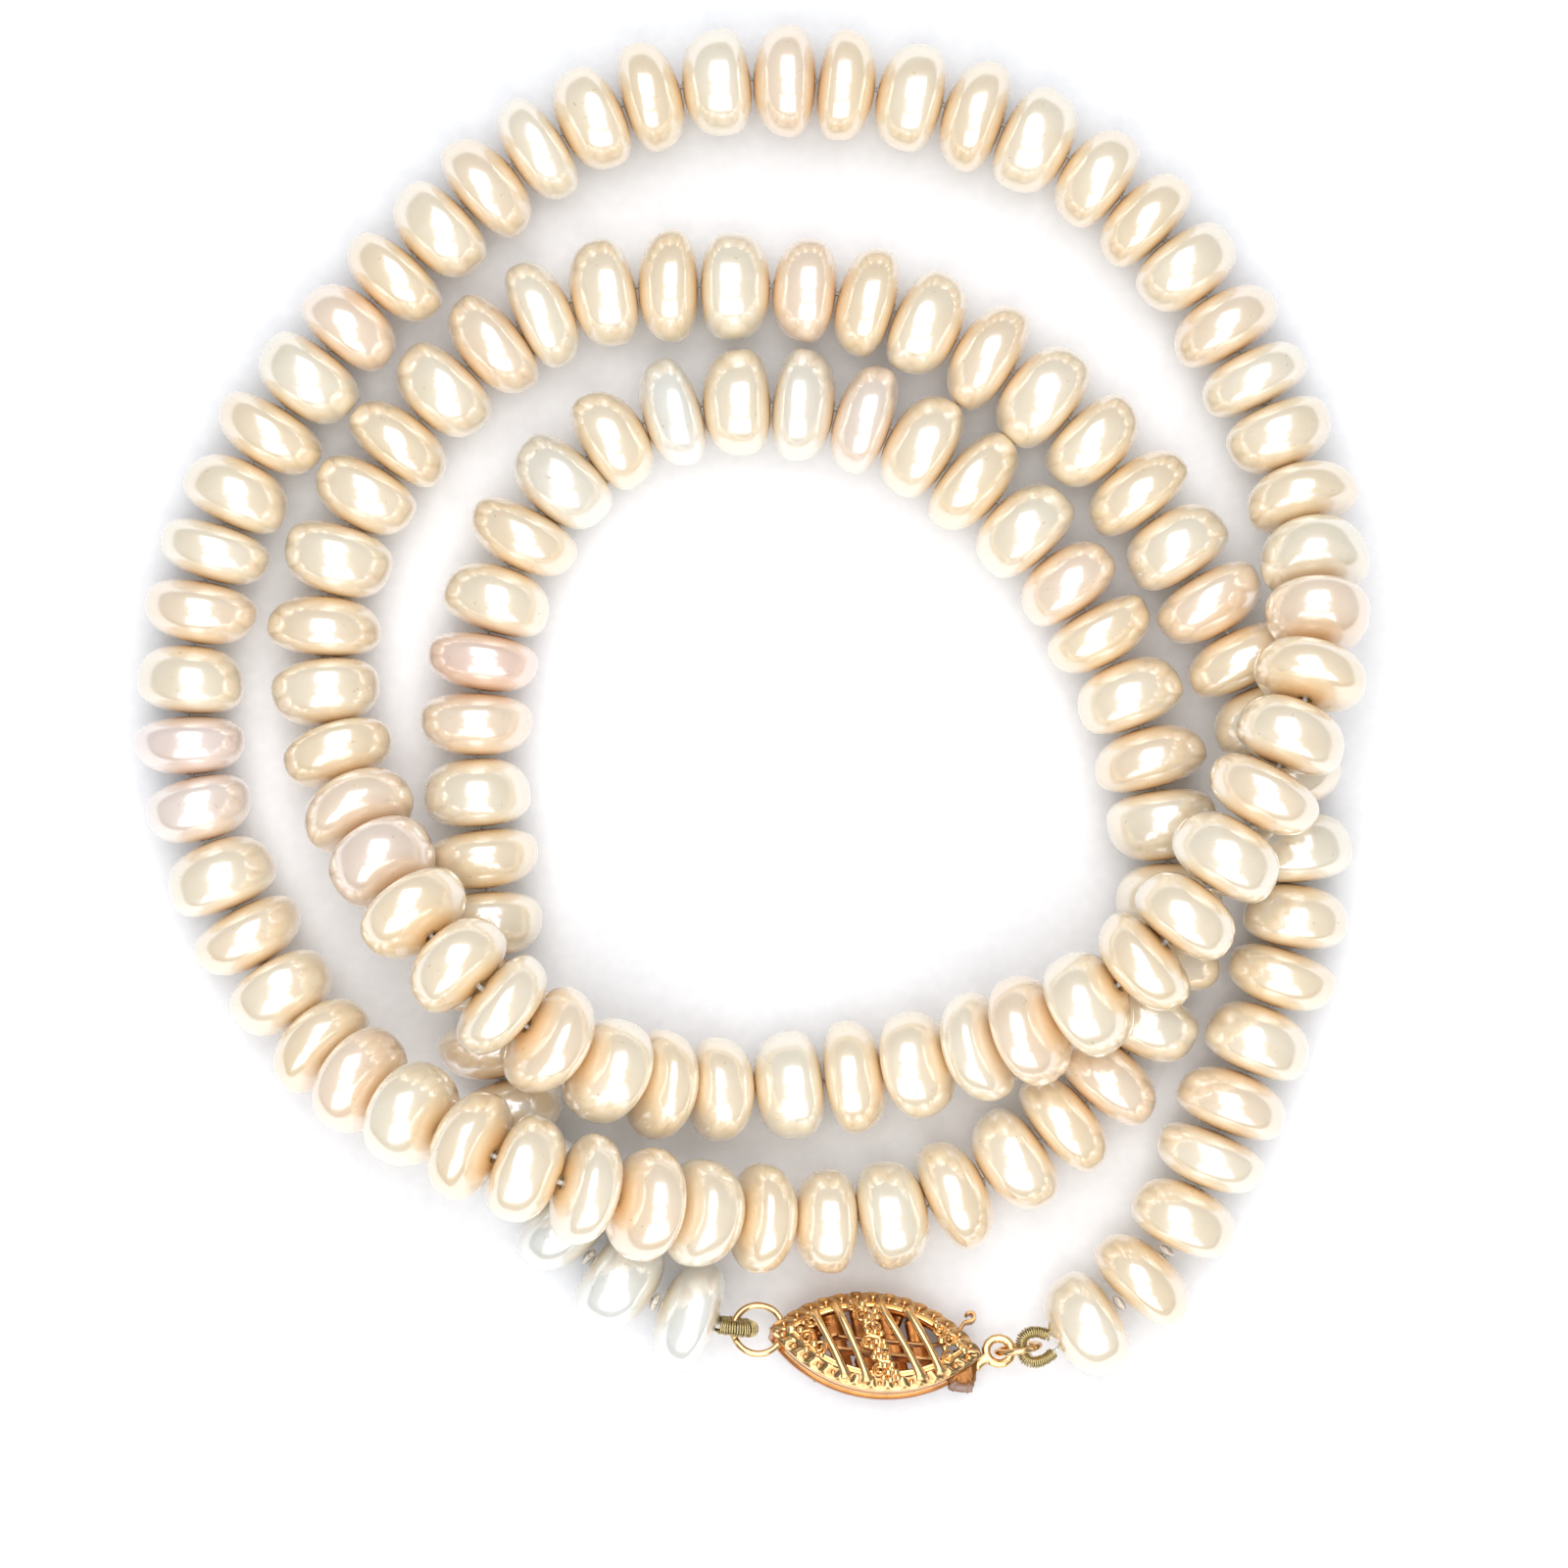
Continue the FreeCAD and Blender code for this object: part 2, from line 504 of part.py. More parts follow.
def housing_cover(label, flipped):
    """A milled rim with a domed filigree in it, for the housing's top or bottom."""
    rim = marquise_body(label + "_rim", [None, "rim_width"], "sizes.rim_height",
                        "sizes.clasp_depth / 2 - sizes.rim_height")
    opening = marquise_body(label + "_opening", ["rim_width"], "sizes.clasp_depth",
                            "sizes.clasp_depth / 2 - sizes.rim_height")
    shell = boolean("Cut", label + "_shell", ellipsoid(label + "_outside", "0"),
                    ellipsoid(label + "_inside", "sizes.wall"))
    dome = boolean("Common", label + "_dome", shell, opening)
    lattice = boolean("Cut", label + "_lattice", dome, filigree_windows(label + "_windows"))
    cover = boolean("Fuse", label + "_cover", rim, lattice)
    if flipped:
        room = box(label + "_room", Length="sizes.clasp_length", Width="sizes.clasp_width",
                   Height="sizes.clasp_depth * 2", x=MOUTH, y="-sizes.clasp_width / 2", z="0")
        cover = boolean("Cut", label + "_open_cover", cover, room)
        cover.Placement = clasp_place.multiply(Placement(Vector(), Rotation(Vector(1, 0, 0), 180)))
    else:
        cover.Placement = clasp_place
    return keep(cover, label)


def housing_band():
    """The side band between the covers, open at one tip for the ring and at the other for the tongue."""
    band = marquise_body("band_wall", ["band_inset", "band_inside"],
                         "sizes.clasp_depth - 2 * sizes.rim_height",
                         "sizes.rim_height - sizes.clasp_depth / 2")
    room = box("band_room", Length="sizes.clasp_length - sizes.mouth_inset - sizes.ring_end_inset",
               Width="sizes.clasp_width", Height="sizes.clasp_depth", y="-sizes.clasp_width / 2",
               x="sizes.ring_end_inset - sizes.clasp_length / 2", z="-sizes.clasp_depth / 2")
    cut_band = boolean("Common", "band_open", band, room)
    cut_band.Placement = clasp_place
    return keep(cut_band, "housing_side_band")


def post(label, middle, height):
    """A round post standing across the housing."""
    item = doc.addObject("Part::Cylinder", label)
    bind(item, Radius="sizes.post_diameter / 2")
    item.Height = height
    item.Placement = clasp_place.multiply(Placement(middle - Z_AXIS * height / 2, Rotation()))
    return keep(item, label)


housing_cover("housing_top", False)
housing_cover("housing_bottom", True)
housing_band()
inner_depth = size("clasp_depth") - 2 * size("rim_height")
post("ring_post", Vector(size("ring_post_inset") - size("clasp_length") / 2, 0, 0), inner_depth)
post("catch_post", Vector(size("catch_place"), -size("catch_side"), 0), size("clasp_depth") - size("wall"))


# ---------------------------------------------------------------- the clasp's tongue
def strip(label, spots, height):
    """A flat strip on its edge, along runs and bends in the housing's own X-Y plane."""
    edges, _ = tangent_path([Vector(x, y, 0) for x, y in spots])
    start, along = edges[0].Vertexes[0].Point, edges[0].tangentAt(edges[0].FirstParameter)
    across = Z_AXIS.cross(along) * (size("strip_thickness") / 2)
    up = Z_AXIS * (height / 2)
    corners = [start + across + up, start - across + up, start - across - up, start + across - up]
    section = Part.makePolygon(corners + corners[:1])
    return feature(label, Part.Wire(edges).makePipeShell([section], True, False), clasp_place)


mouth = size("clasp_length") / 2 - size("mouth_inset")
root = mouth + size("clearance")
strip_side = -(size("strip_gap") + size("strip_thickness")) / 2 + size("strip_offset")
leaf_side = strip_side + size("strip_gap") + size("strip_thickness")
fold = mouth - size("tongue_reach")
fold_depth = leaf_side - strip_side
fold_spots = [(root, strip_side), (fold, strip_side), (fold, leaf_side),
              (fold + fold_depth / 2, leaf_side)]
strip("tongue_strip", fold_spots, size("strip_height"))
leaf_start = fold + fold_depth / 2 + joint_space * 2
tab_side = size("clasp_width") / 2 - size("tab_inset")
leaf_spots = [(leaf_start, leaf_side),
              (root - size("leaf_straight"), leaf_side + size("leaf_spread")),
              (root + size("leaf_step"), leaf_side + size("leaf_throw")),
              (root + size("tab_foot"), tab_side - size("tab_drop")),
              (root + size("tab_reach"), tab_side)]
strip("spring_leaf", leaf_spots, size("strip_height") / 2)

guard = box("guard_block", Length="sizes.guard_length", Width="sizes.guard_width", Height="sizes.guard_depth",
            x=MOUTH + " + sizes.clearance", y="-sizes.guard_side - sizes.guard_width / 2",
            z="sizes.clasp_depth / 2 - sizes.rim_height - sizes.clearance - sizes.guard_depth")
guard_fillet = doc.addObject("Part::Fillet", "tongue_guard")
guard_fillet.Base = guard
doc.recompute()
guard_fillet.Edges = [(edge, size("guard_fillet"), size("guard_fillet"))
                      for edge in range(1, len(guard.Shape.Edges) + 1)]
guard_fillet.Placement = clasp_place
keep(guard_fillet, "tongue_guard")


def tongue_eye():
    """The cast eye and the neck that joins it to the block."""
    disc = doc.addObject("Part::Cylinder", "eye_disc")
    bind(disc, Radius="sizes.eye_diameter / 2", Height="sizes.eye_thickness")
    hole = doc.addObject("Part::Cylinder", "eye_bore")
    bind(hole, Radius="sizes.eye_hole / 2", Height="sizes.eye_thickness")
    neck = doc.addObject("Part::Box", "eye_neck")
    bind(neck, Width="sizes.neck_width", Height="sizes.eye_thickness")
    lift = Z_AXIS * (-size("eye_thickness") / 2)
    neck_root = Vector(root + size("guard_length"), -size("guard_side") / 2, 0)
    reach = eye_middle - neck_root
    neck.Length = reach.Length - size("eye_hole") / 2 - size("clearance")
    turn = Rotation(Vector(1, 0, 0), reach)
    sideways = turn.multVec(Vector(0, -size("neck_width") / 2, 0))
    neck.Placement = Placement(neck_root + sideways + lift, turn)
    for item in (disc, hole):
        item.Placement = Placement(eye_middle + lift, Rotation())
    joined = boolean("Fuse", "eye_and_neck", disc, neck)
    block = box("eye_room", Length="sizes.guard_length", Width="sizes.clasp_width", Height="sizes.clasp_depth",
                x=MOUTH + " + sizes.clearance", y="-sizes.clasp_width / 2", z="-sizes.clasp_depth / 2")
    bored = boolean("Cut", "eye_bored", joined, hole)
    eye = boolean("Cut", "eye_trimmed", bored, block)
    eye.Placement = clasp_place
    return keep(eye, "tongue_eye")


tongue_eye()


# ---------------------------------------------------------------- check and write
doc.recompute()
for item in doc.Objects:
    if "Invalid" in item.State or "Error" in item.State:
        raise RuntimeError("%s could not be built" % item.Label)
for item in parts:
    if item.Shape.isNull() or not item.Shape.isValid() or not item.Shape.Solids:
        raise RuntimeError("%s has no valid solid" % item.Label)

os.makedirs("parts", exist_ok=True)
for item in parts:
    item.Shape.exportStep("parts/%s.step" % item.Label)

tube_volume = math.pi * (size("thread_diameter") / 2) ** 2 * (tail_root - joint_space - gap_middles[0])
coil_thread = [item for item in parts if item.Label == "coil_thread"][0]
print("sub-parts %d, pearls %d, strand %.1f mm" % (len(parts), pearl_count, strand_length))
print("thread volume %.3f of %.3f mm3" % (coil_thread.Shape.Volume, tube_volume))
print("thread radii %.1f to %.1f mm" % (min(thread_radii), max(thread_radii)))
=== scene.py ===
"""Pearl necklace: button pearls on knotted silk, French wire ends, jump rings and a gilt filigree clasp."""
import json
import math

import bmesh
import bpy
import numpy as np
from bpy.props import FloatProperty, FloatVectorProperty, IntProperty, PointerProperty
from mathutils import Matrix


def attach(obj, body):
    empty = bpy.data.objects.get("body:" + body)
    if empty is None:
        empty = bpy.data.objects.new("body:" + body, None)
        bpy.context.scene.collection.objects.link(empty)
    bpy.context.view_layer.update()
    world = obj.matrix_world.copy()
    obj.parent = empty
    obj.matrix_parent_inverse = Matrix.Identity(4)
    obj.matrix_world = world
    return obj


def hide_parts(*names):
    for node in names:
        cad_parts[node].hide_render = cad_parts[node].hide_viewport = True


bl_info = {
    "name": "Pearl necklace",
    "version": (1, 0, 0),
    "blender": (4, 5, 0),
    "location": "3D View > Sidebar > Necklace",
    "description": "Strings the pearls, lays the silk and builds the filigree clasp",
    "category": "Add Mesh",
}

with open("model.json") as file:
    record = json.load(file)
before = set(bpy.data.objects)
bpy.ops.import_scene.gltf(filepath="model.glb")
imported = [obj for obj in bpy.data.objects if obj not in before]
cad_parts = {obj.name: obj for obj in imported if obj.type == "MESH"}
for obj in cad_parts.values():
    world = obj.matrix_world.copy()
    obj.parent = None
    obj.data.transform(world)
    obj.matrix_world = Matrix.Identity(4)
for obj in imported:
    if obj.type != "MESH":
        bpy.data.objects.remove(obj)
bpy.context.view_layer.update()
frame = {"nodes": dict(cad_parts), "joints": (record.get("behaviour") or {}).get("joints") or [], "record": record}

MM = 0.001
UP = np.array([0.0, 0.0, 1.0])
GOLDEN = 0.61803398875          # the golden ratio's fraction
CAP_SINES = np.array([0.0, 0.5, 0.87])   # radii of the rows that round off a tube's end, against the tube's

# ------------------------------------------------------------------ the strand, as the solids have it
PEARL_WIDTH = 6.6 * MM
REST_HEIGHT = 3.432 * MM
COIL_SHIFT = np.array([0.18, 0.35, 0.0]) * MM
# Where the thread lies, in mean pearl widths: X, Y and its lift above its resting height.
ROUTE = [
    # first turn, from the clasp's ring end
    (-0.33, -5.64, 0.00), (-0.88, -5.48, 0.00), (-1.50, -5.06, 0.00), (-1.99, -4.41, 0.00), (-2.22, -3.68, 0.00),
    (-2.41, -3.03, 0.00), (-2.38, -2.33, 0.00), (-2.41, -1.59, 0.00), (-2.54, -0.82, 0.00), (-2.54, 0.05, 0.00),
    (-2.38, 0.93, 0.00), (-2.06, 1.72, 0.00), (-1.51, 2.37, 0.00), (-0.74, 2.74, 0.00), (0.15, 2.83, 0.00),
    (1.00, 2.70, 0.00), (1.76, 2.29, 0.00), (2.43, 1.72, 0.00), (2.97, 1.05, 0.00), (3.38, 0.30, 0.00),
    (3.67, -0.50, 0.00), (3.80, -1.36, 0.00), (3.82, -2.20, 0.00), (3.62, -2.94, 0.00), (3.17, -3.54, 0.00),
    (2.52, -4.05, 0.00), (1.80, -4.53, 0.00), (0.97, -4.72, 0.00),
    # over the first turn's start, then the outer turn
    (0.29, -4.67, 0.08), (-0.34, -4.60, 0.36), (-0.92, -4.50, 0.71), (-1.51, -4.33, 0.99), (-2.11, -4.10, 1.06),
    (-2.70, -3.85, 0.91), (-3.34, -3.55, 0.53), (-3.96, -3.10, 0.15), (-4.41, -2.44, 0.00), (-4.82, -1.71, 0.00),
    (-5.08, -0.95, 0.00), (-5.17, -0.14, 0.00), (-5.10, 0.71, 0.00), (-4.91, 1.54, 0.00), (-4.54, 2.33, 0.00),
    (-4.05, 3.06, 0.00), (-3.46, 3.73, 0.00), (-2.85, 4.39, 0.00), (-2.17, 5.00, 0.00), (-1.38, 5.45, 0.00),
    (-0.49, 5.73, 0.00), (0.40, 5.75, 0.00), (1.27, 5.63, 0.00), (2.11, 5.41, 0.00), (2.94, 5.03, 0.00),
    (3.63, 4.45, 0.00), (4.22, 3.71, 0.00), (4.66, 2.86, 0.00),
    # over the last turn's end and the first turn
    (5.01, 2.00, 0.07), (5.13, 1.26, 0.37), (5.09, 0.57, 0.78), (4.92, -0.04, 1.02), (4.64, -0.69, 1.05),
    (4.25, -1.35, 1.02), (3.84, -1.95, 1.06), (3.38, -2.43, 1.00), (2.81, -2.82, 0.75), (2.16, -3.05, 0.40),
    (1.47, -3.27, 0.11), (0.74, -3.40, 0.00), (0.02, -3.50, 0.00),
    # over the first turn again, then the middle turn
    (-0.57, -3.48, 0.13), (-1.15, -3.38, 0.46), (-1.70, -3.10, 0.84), (-2.21, -2.71, 1.03), (-2.67, -2.28, 1.03),
    (-3.08, -1.81, 0.82), (-3.43, -1.29, 0.45), (-3.72, -0.65, 0.11), (-3.92, 0.07, 0.00), (-3.94, 0.89, 0.00),
    (-3.73, 1.66, 0.00), (-3.29, 2.36, 0.00), (-2.71, 3.06, 0.00), (-2.03, 3.61, 0.00), (-1.17, 3.86, 0.00),
    (-0.30, 3.85, 0.00), (0.50, 3.85, 0.00), (1.31, 3.65, 0.00), (2.11, 3.27, 0.00), (2.83, 2.73, 0.00),
    (3.47, 2.05, 0.00), (4.03, 1.25, 0.00), (4.49, 0.41, 0.00), (4.83, -0.45, 0.00),
    # down to the clasp's tongue
    (5.03, -1.27, 0.00), (4.98, -2.02, 0.00), (4.74, -2.74, 0.00), (4.43, -3.50, 0.00),
    (4.1331, -4.2305, 0.00), (3.8615, -4.8613, 0.00), (3.4377, -5.4424, 0.00), (2.7739, -5.8034, 0.00),
]
KNOTTED_GAPS = 2            # gaps with a knot, at each end of the strand
PEARL_GAP = 0.15 * MM
KNOT_GAP = 0.66 * MM
KNOT_LENGTH = 0.52 * MM     # along the thread, pulled tight
TAIL_PEARLS = 9             # pearls that each ride on a body of their own
COIL_GROUPS = 16            # nodes that the coil's pearls are grouped in
BORE = 0.9 * MM
LENGTH_SPREAD = 0.12        # largest stray of a pearl's length from the mean, as a share of it
WIDTH_SPREAD = 0.04         # the same for its width

# ------------------------------------------------------------------ the pearls' colours
CREAM = np.array([0.90, 0.75, 0.525])
CREAM_STRAY = np.array([0.0, 0.03, 0.055])      # added or taken away, from pearl to pearl
ROSY_STRAY = np.array([0.01, -0.09, -0.01])     # added to a few, as are the greenish ones'
GREEN_STRAY = np.array([-0.05, 0.03, 0.07])
MARKED_SHADE = 0.93
# Pearls that stand out in the strand, counted from the clasp's ring end: body colour.
MARKED_PEARLS = {
    1: (0.87, 0.87, 0.80), 2: (0.88, 0.88, 0.81), 3: (0.88, 0.88, 0.82), 4: (0.90, 0.86, 0.76),
    12: (0.93, 0.68, 0.54), 15: (0.92, 0.85, 0.70), 17: (0.93, 0.89, 0.78), 19: (0.93, 0.85, 0.70),
    20: (0.93, 0.77, 0.62), 50: (0.93, 0.79, 0.68), 51: (0.93, 0.76, 0.67), 99: (0.93, 0.75, 0.60),
}


def length_of(name, description, default, **limits):
    """A property that holds a length, in metres."""
    return FloatProperty(name=name, description=description, default=default, unit="LENGTH", subtype="DISTANCE",
                         **limits)


def unit(vectors):
    """Vectors scaled to length one."""
    return vectors / np.maximum(np.linalg.norm(vectors, axis=-1, keepdims=True), 1e-12)


def stray(index, phase):
    """An even spread from -1 to 1 that never repeats: steps of the golden ratio, wrapped."""
    return 2 * ((index * GOLDEN + phase) % 1.0) - 1


# ------------------------------------------------------------------ meshes from grids
def grid(rows, cols, wrap_rows=False, wrap_cols=True):
    """Faces of a rows by cols grid of points, as four corners each."""
    row = np.arange(rows if wrap_rows else rows - 1)[:, None]
    col = np.arange(cols if wrap_cols else cols - 1)[None, :]

    def corner(i, j):
        return (i % rows) * cols + (j % cols)

    corners = [corner(row, col), corner(row, col + 1), corner(row + 1, col + 1), corner(row + 1, col)]
    return np.stack(corners, -1).reshape(-1, 4)


def shape(points, faces, **marks):
    """A closed skin that looks outwards: where the volume under its faces is negative they are turned."""
    points = points.reshape(-1, 3)
    a, b, c, d = (points[faces[:, k]] for k in range(4))
    volume = np.einsum("ij,ij->", a, np.cross(b, c)) + np.einsum("ij,ij->", a, np.cross(c, d))
    if volume < 0:
        faces = faces[:, ::-1]
    marks = {name: np.asarray(value, float).reshape(len(points), -1) for name, value in marks.items()}
    return points, faces, marks


def joined(shapes):
    """Several skins as one set of points, faces and marks; a mark that a skin lacks is nought there."""
    widths = {name: mark.shape[1] for _, _, marks in shapes for name, mark in marks.items()}
    starts = np.cumsum([0] + [len(points) for points, _, _ in shapes])
    points = np.concatenate([points for points, _, _ in shapes])
    faces = np.concatenate([faces + start for (_, faces, _), start in zip(shapes, starts)])
    marks = {name: np.concatenate([m.get(name, np.zeros((len(p), width))) for p, _, m in shapes])
             for name, width in widths.items()}
    return points, faces, marks


def linked(name, data):
    """An object of the scene that shows the data."""
    made = bpy.data.objects.new(name, data)
    bpy.context.scene.collection.objects.link(made)
    return made


def hang(made, body, stands_for):
    """Hangs a piece on its body and hides the node that it stands for."""
    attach(made, body)
    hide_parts(stands_for)


def piece(name, shapes, material, body, stands_for, merge=True, sharp=None):
    """Makes the mesh of one piece and hangs it on its body in place of its node.

    Rows that meet in a pole are merged into one point. With a sharp angle, edges that turn more than it
    stay crisp."""
    points, faces, marks = joined(shapes)
    mesh = bpy.data.meshes.new(name)
    mesh.vertices.add(len(points))
    mesh.vertices.foreach_set("co", points.astype(np.float32).ravel())
    mesh.loops.add(faces.size)
    mesh.loops.foreach_set("vertex_index", faces.astype(np.int32).ravel())
    mesh.polygons.add(len(faces))
    mesh.polygons.foreach_set("loop_start", np.arange(0, faces.size, 4, dtype=np.int32))
    mesh.polygons.foreach_set("use_smooth", np.ones(len(faces), bool))
    mesh.update(calc_edges=True)
    for label, values in marks.items():
        if values.shape[1] == 1:
            mesh.attributes.new(label, "FLOAT", "POINT").data.foreach_set("value", values.ravel())
        else:
            colours = np.column_stack([values, np.ones(len(values))])
            mesh.attributes.new(label, "FLOAT_COLOR", "POINT").data.foreach_set("color", colours.ravel())
    if merge:
        worked = bmesh.new()
        worked.from_mesh(mesh)
        bmesh.ops.remove_doubles(worked, verts=worked.verts, dist=1e-6)
        bmesh.ops.dissolve_degenerate(worked, edges=worked.edges, dist=1e-7)
        worked.to_mesh(mesh)
        worked.free()
    mesh.validate()
    if sharp is not None:
        mesh.set_sharp_from_angle(angle=math.radians(sharp))
    mesh.materials.append(material)
    hang(linked(name, mesh), body, stands_for)


def tube(path, half_width, half_height, reference, around=12, closed=False, power=2.0):
    """A section carried along a path: at each station the reference gives which way the height points.

    The section is a super-ellipse: cos and sin of the turn, each raised to 2 / power. The ends are closed by
    rows that shrink to a point while they move out by the matching cosine."""
    path = np.asarray(path, float)
    reference = np.broadcast_to(reference, path.shape)
    along = unit(np.roll(path, -1, 0) - np.roll(path, 1, 0) if closed else np.gradient(path, axis=0))
    side = unit(np.cross(along, reference))
    up = np.cross(side, along)
    wide, tall = (np.broadcast_to(half, (len(path),)) for half in (half_width, half_height))
    if not closed:
        reach = np.sqrt(1 - CAP_SINES ** 2)[:, None]
        path = np.concatenate([path[:1] - along[:1] * reach * min(wide[0], tall[0]), path,
                               path[-1:] + along[-1:] * reach[::-1] * min(wide[-1], tall[-1])])
        wide, tall = (np.concatenate([half[0] * CAP_SINES, half, half[-1] * CAP_SINES[::-1]])
                      for half in (wide, tall))
        side, up = (np.pad(way, ((len(CAP_SINES),) * 2, (0, 0)), "edge") for way in (side, up))
    turn = np.arange(around) * 2 * np.pi / around
    across = np.sign(np.cos(turn)) * np.abs(np.cos(turn)) ** (2 / power)
    over = np.sign(np.sin(turn)) * np.abs(np.sin(turn)) ** (2 / power)
    points = (path[:, None] + side[:, None] * (wide[:, None] * across)[..., None]
              + up[:, None] * (tall[:, None] * over)[..., None])
    return shape(points, grid(len(path), around, wrap_rows=closed))


def bead(middle, radius, squash=1.0, axis=UP, rows=7, cols=12, lumps=0.0):
    """A round bead: radius times cos and sin of its latitude, flattened along its axis by the squash."""
    latitude = np.linspace(-np.pi / 2, np.pi / 2, rows)[:, None]
    turn = np.arange(cols)[None, :] * 2 * np.pi / cols
    axis = unit(np.asarray(axis, float))
    side = unit(np.cross(axis, [0.31, 0.87, 0.38]))
    other = np.cross(axis, side)
    rough = 1 + lumps * np.sin(3 * turn + 5 * latitude) * np.cos(latitude)
    flat = radius * rough * np.cos(latitude)
    points = (np.asarray(middle, float) + side * (flat * np.cos(turn))[..., None]
              + other * (flat * np.sin(turn))[..., None]
              + axis * (radius * squash * np.sin(latitude) * np.ones_like(turn))[..., None])
    return shape(points, grid(rows, cols))


# ------------------------------------------------------------------ finishes
def finish(name, **values):
    """A material with one shader, its even values set on the shader's own sockets."""
    material = bpy.data.materials.new(name)
    material.use_nodes = True
    shader = material.node_tree.nodes["Principled BSDF"]
    for label, value in values.items():
        shader.inputs[label.replace("_", " ")].default_value = value
    return material, material.node_tree, shader


def node(tree, kind, settings=(), **inputs):
    """One node, with its settings and its unlinked inputs."""
    made = tree.nodes.new("ShaderNode" + kind)
    for label, value in dict(settings).items():
        setattr(made, label, value)
    for label, value in inputs.items():
        made.inputs[label.replace("_", " ")].default_value = value
    return made


def noise(tree, scale, detail=3.0, roughness=0.5):
    """Noise on the object's own coordinates, in grains to the metre."""
    place = node(tree, "TexCoord")
    grain = node(tree, "TexNoise", Scale=scale, Detail=detail, Roughness=roughness)
    tree.links.new(place.outputs["Object"], grain.inputs["Vector"])
    return grain


def ramp(tree, source, low, high, dark=(0, 0, 0, 1), light=(1, 1, 1, 1)):
    """A colour that goes from dark to light as the source goes from low to high."""
    made = node(tree, "ValToRGB")
    made.color_ramp.elements[0].position, made.color_ramp.elements[0].color = low, dark
    made.color_ramp.elements[1].position, made.color_ramp.elements[1].color = high, light
    tree.links.new(source, made.inputs["Fac"])
    return made.outputs["Color"]


def mixed(tree, kind, share, first, second):
    """Two colours mixed by a share; each may be a colour or a link."""
    made = node(tree, "Mix", {"data_type": "RGBA", "blend_type": kind})
    colours = [socket for socket in made.inputs if socket.type == "RGBA"]
    for socket, value in zip((made.inputs[0], *colours), (share, first, second)):
        if hasattr(value, "is_linked"):
            tree.links.new(value, socket)
        else:
            socket.default_value = value
    return [socket for socket in made.outputs if socket.type == "RGBA"][0]


def relief(tree, shader, height, strength, distance, before=None):
    """A bump from a height, over any bump that came before it."""
    bump = node(tree, "Bump", Strength=strength, Distance=distance)
    tree.links.new(height, bump.inputs["Height"])
    if before is not None:
        tree.links.new(before, bump.inputs["Normal"])
    tree.links.new(bump.outputs["Normal"], shader.inputs["Normal"])
    return bump.outputs["Normal"]


def nacre(colours):
    """Nacre: a warm body that the light enters, under a clear skin, with orient, faint growth bands and pits, and
    painted warm shade towards the holes, where the neighbouring pearls stand close.
    """
    material, tree, shader = finish(
        "nacre", Roughness=0.24, IOR=2.2, Specular_IOR_Level=0.9, Subsurface_Weight=0.15,
        Subsurface_Radius=(1.0, 0.62, 0.35), Subsurface_Scale=0.7 * MM, Coat_Weight=1.0, Coat_Roughness=0.05,
        Coat_IOR=2.05)
    body = node(tree, "Attribute", {"attribute_name": "Body"})
    side = node(tree, "Attribute", {"attribute_name": "Side"})
    cloud = noise(tree, 420.0, 4.0)
    clouded = mixed(tree, "MULTIPLY", ramp(tree, cloud.outputs["Fac"], 0.42, 0.72, (0, 0, 0, 1), (0.5, 0.5, 0.5, 1)),
                    body.outputs["Color"], (0.94, 0.86, 0.74, 1))
    # Painted warm shade: towards the holes, where the neighbouring pearls stand close, the colour is darkened and
    # warmed.
    warm = mixed(tree, "MULTIPLY", side.outputs["Fac"], clouded, (*colours.neighbour_shade_tint, 1))
    speck = noise(tree, 2600.0, 2.0)
    pits = ramp(tree, speck.outputs["Fac"], 0.70, 0.76)
    pitted = mixed(tree, "MULTIPLY", pits, warm, (0.82, 0.74, 0.64, 1))
    tree.links.new(pitted, shader.inputs["Base Color"])
    skin = relief(tree, shader, noise(tree, 900.0, 3.0).outputs["Fac"], 0.10, 0.05 * MM)
    relief(tree, shader, speck.outputs["Fac"], 0.05, 0.02 * MM, skin)
    return material


def silk():
    """White silk: twisted plies as a fine slanting bump, painted shade in the grooves between them, a soft sheen."""
    material, tree, shader = finish("silk", Base_Color=(0.86, 0.83, 0.75, 1), Roughness=0.6, Sheen_Weight=0.5,
                                    Sheen_Roughness=0.3)
    place = node(tree, "TexCoord")
    plies = node(tree, "TexWave", {"bands_direction": "DIAGONAL"}, Scale=1800.0, Distortion=1.5)
    tree.links.new(place.outputs["Object"], plies.inputs["Vector"])
    # Painted shade: the colour darkens in the grooves between the plies, where the bump sinks.
    tree.links.new(ramp(tree, plies.outputs["Fac"], 0.0, 0.6, (0.62, 0.58, 0.50, 1), (0.90, 0.87, 0.80, 1)),
                   shader.inputs["Base Color"])
    relief(tree, shader, plies.outputs["Fac"], 0.6, 0.04 * MM)
    return material


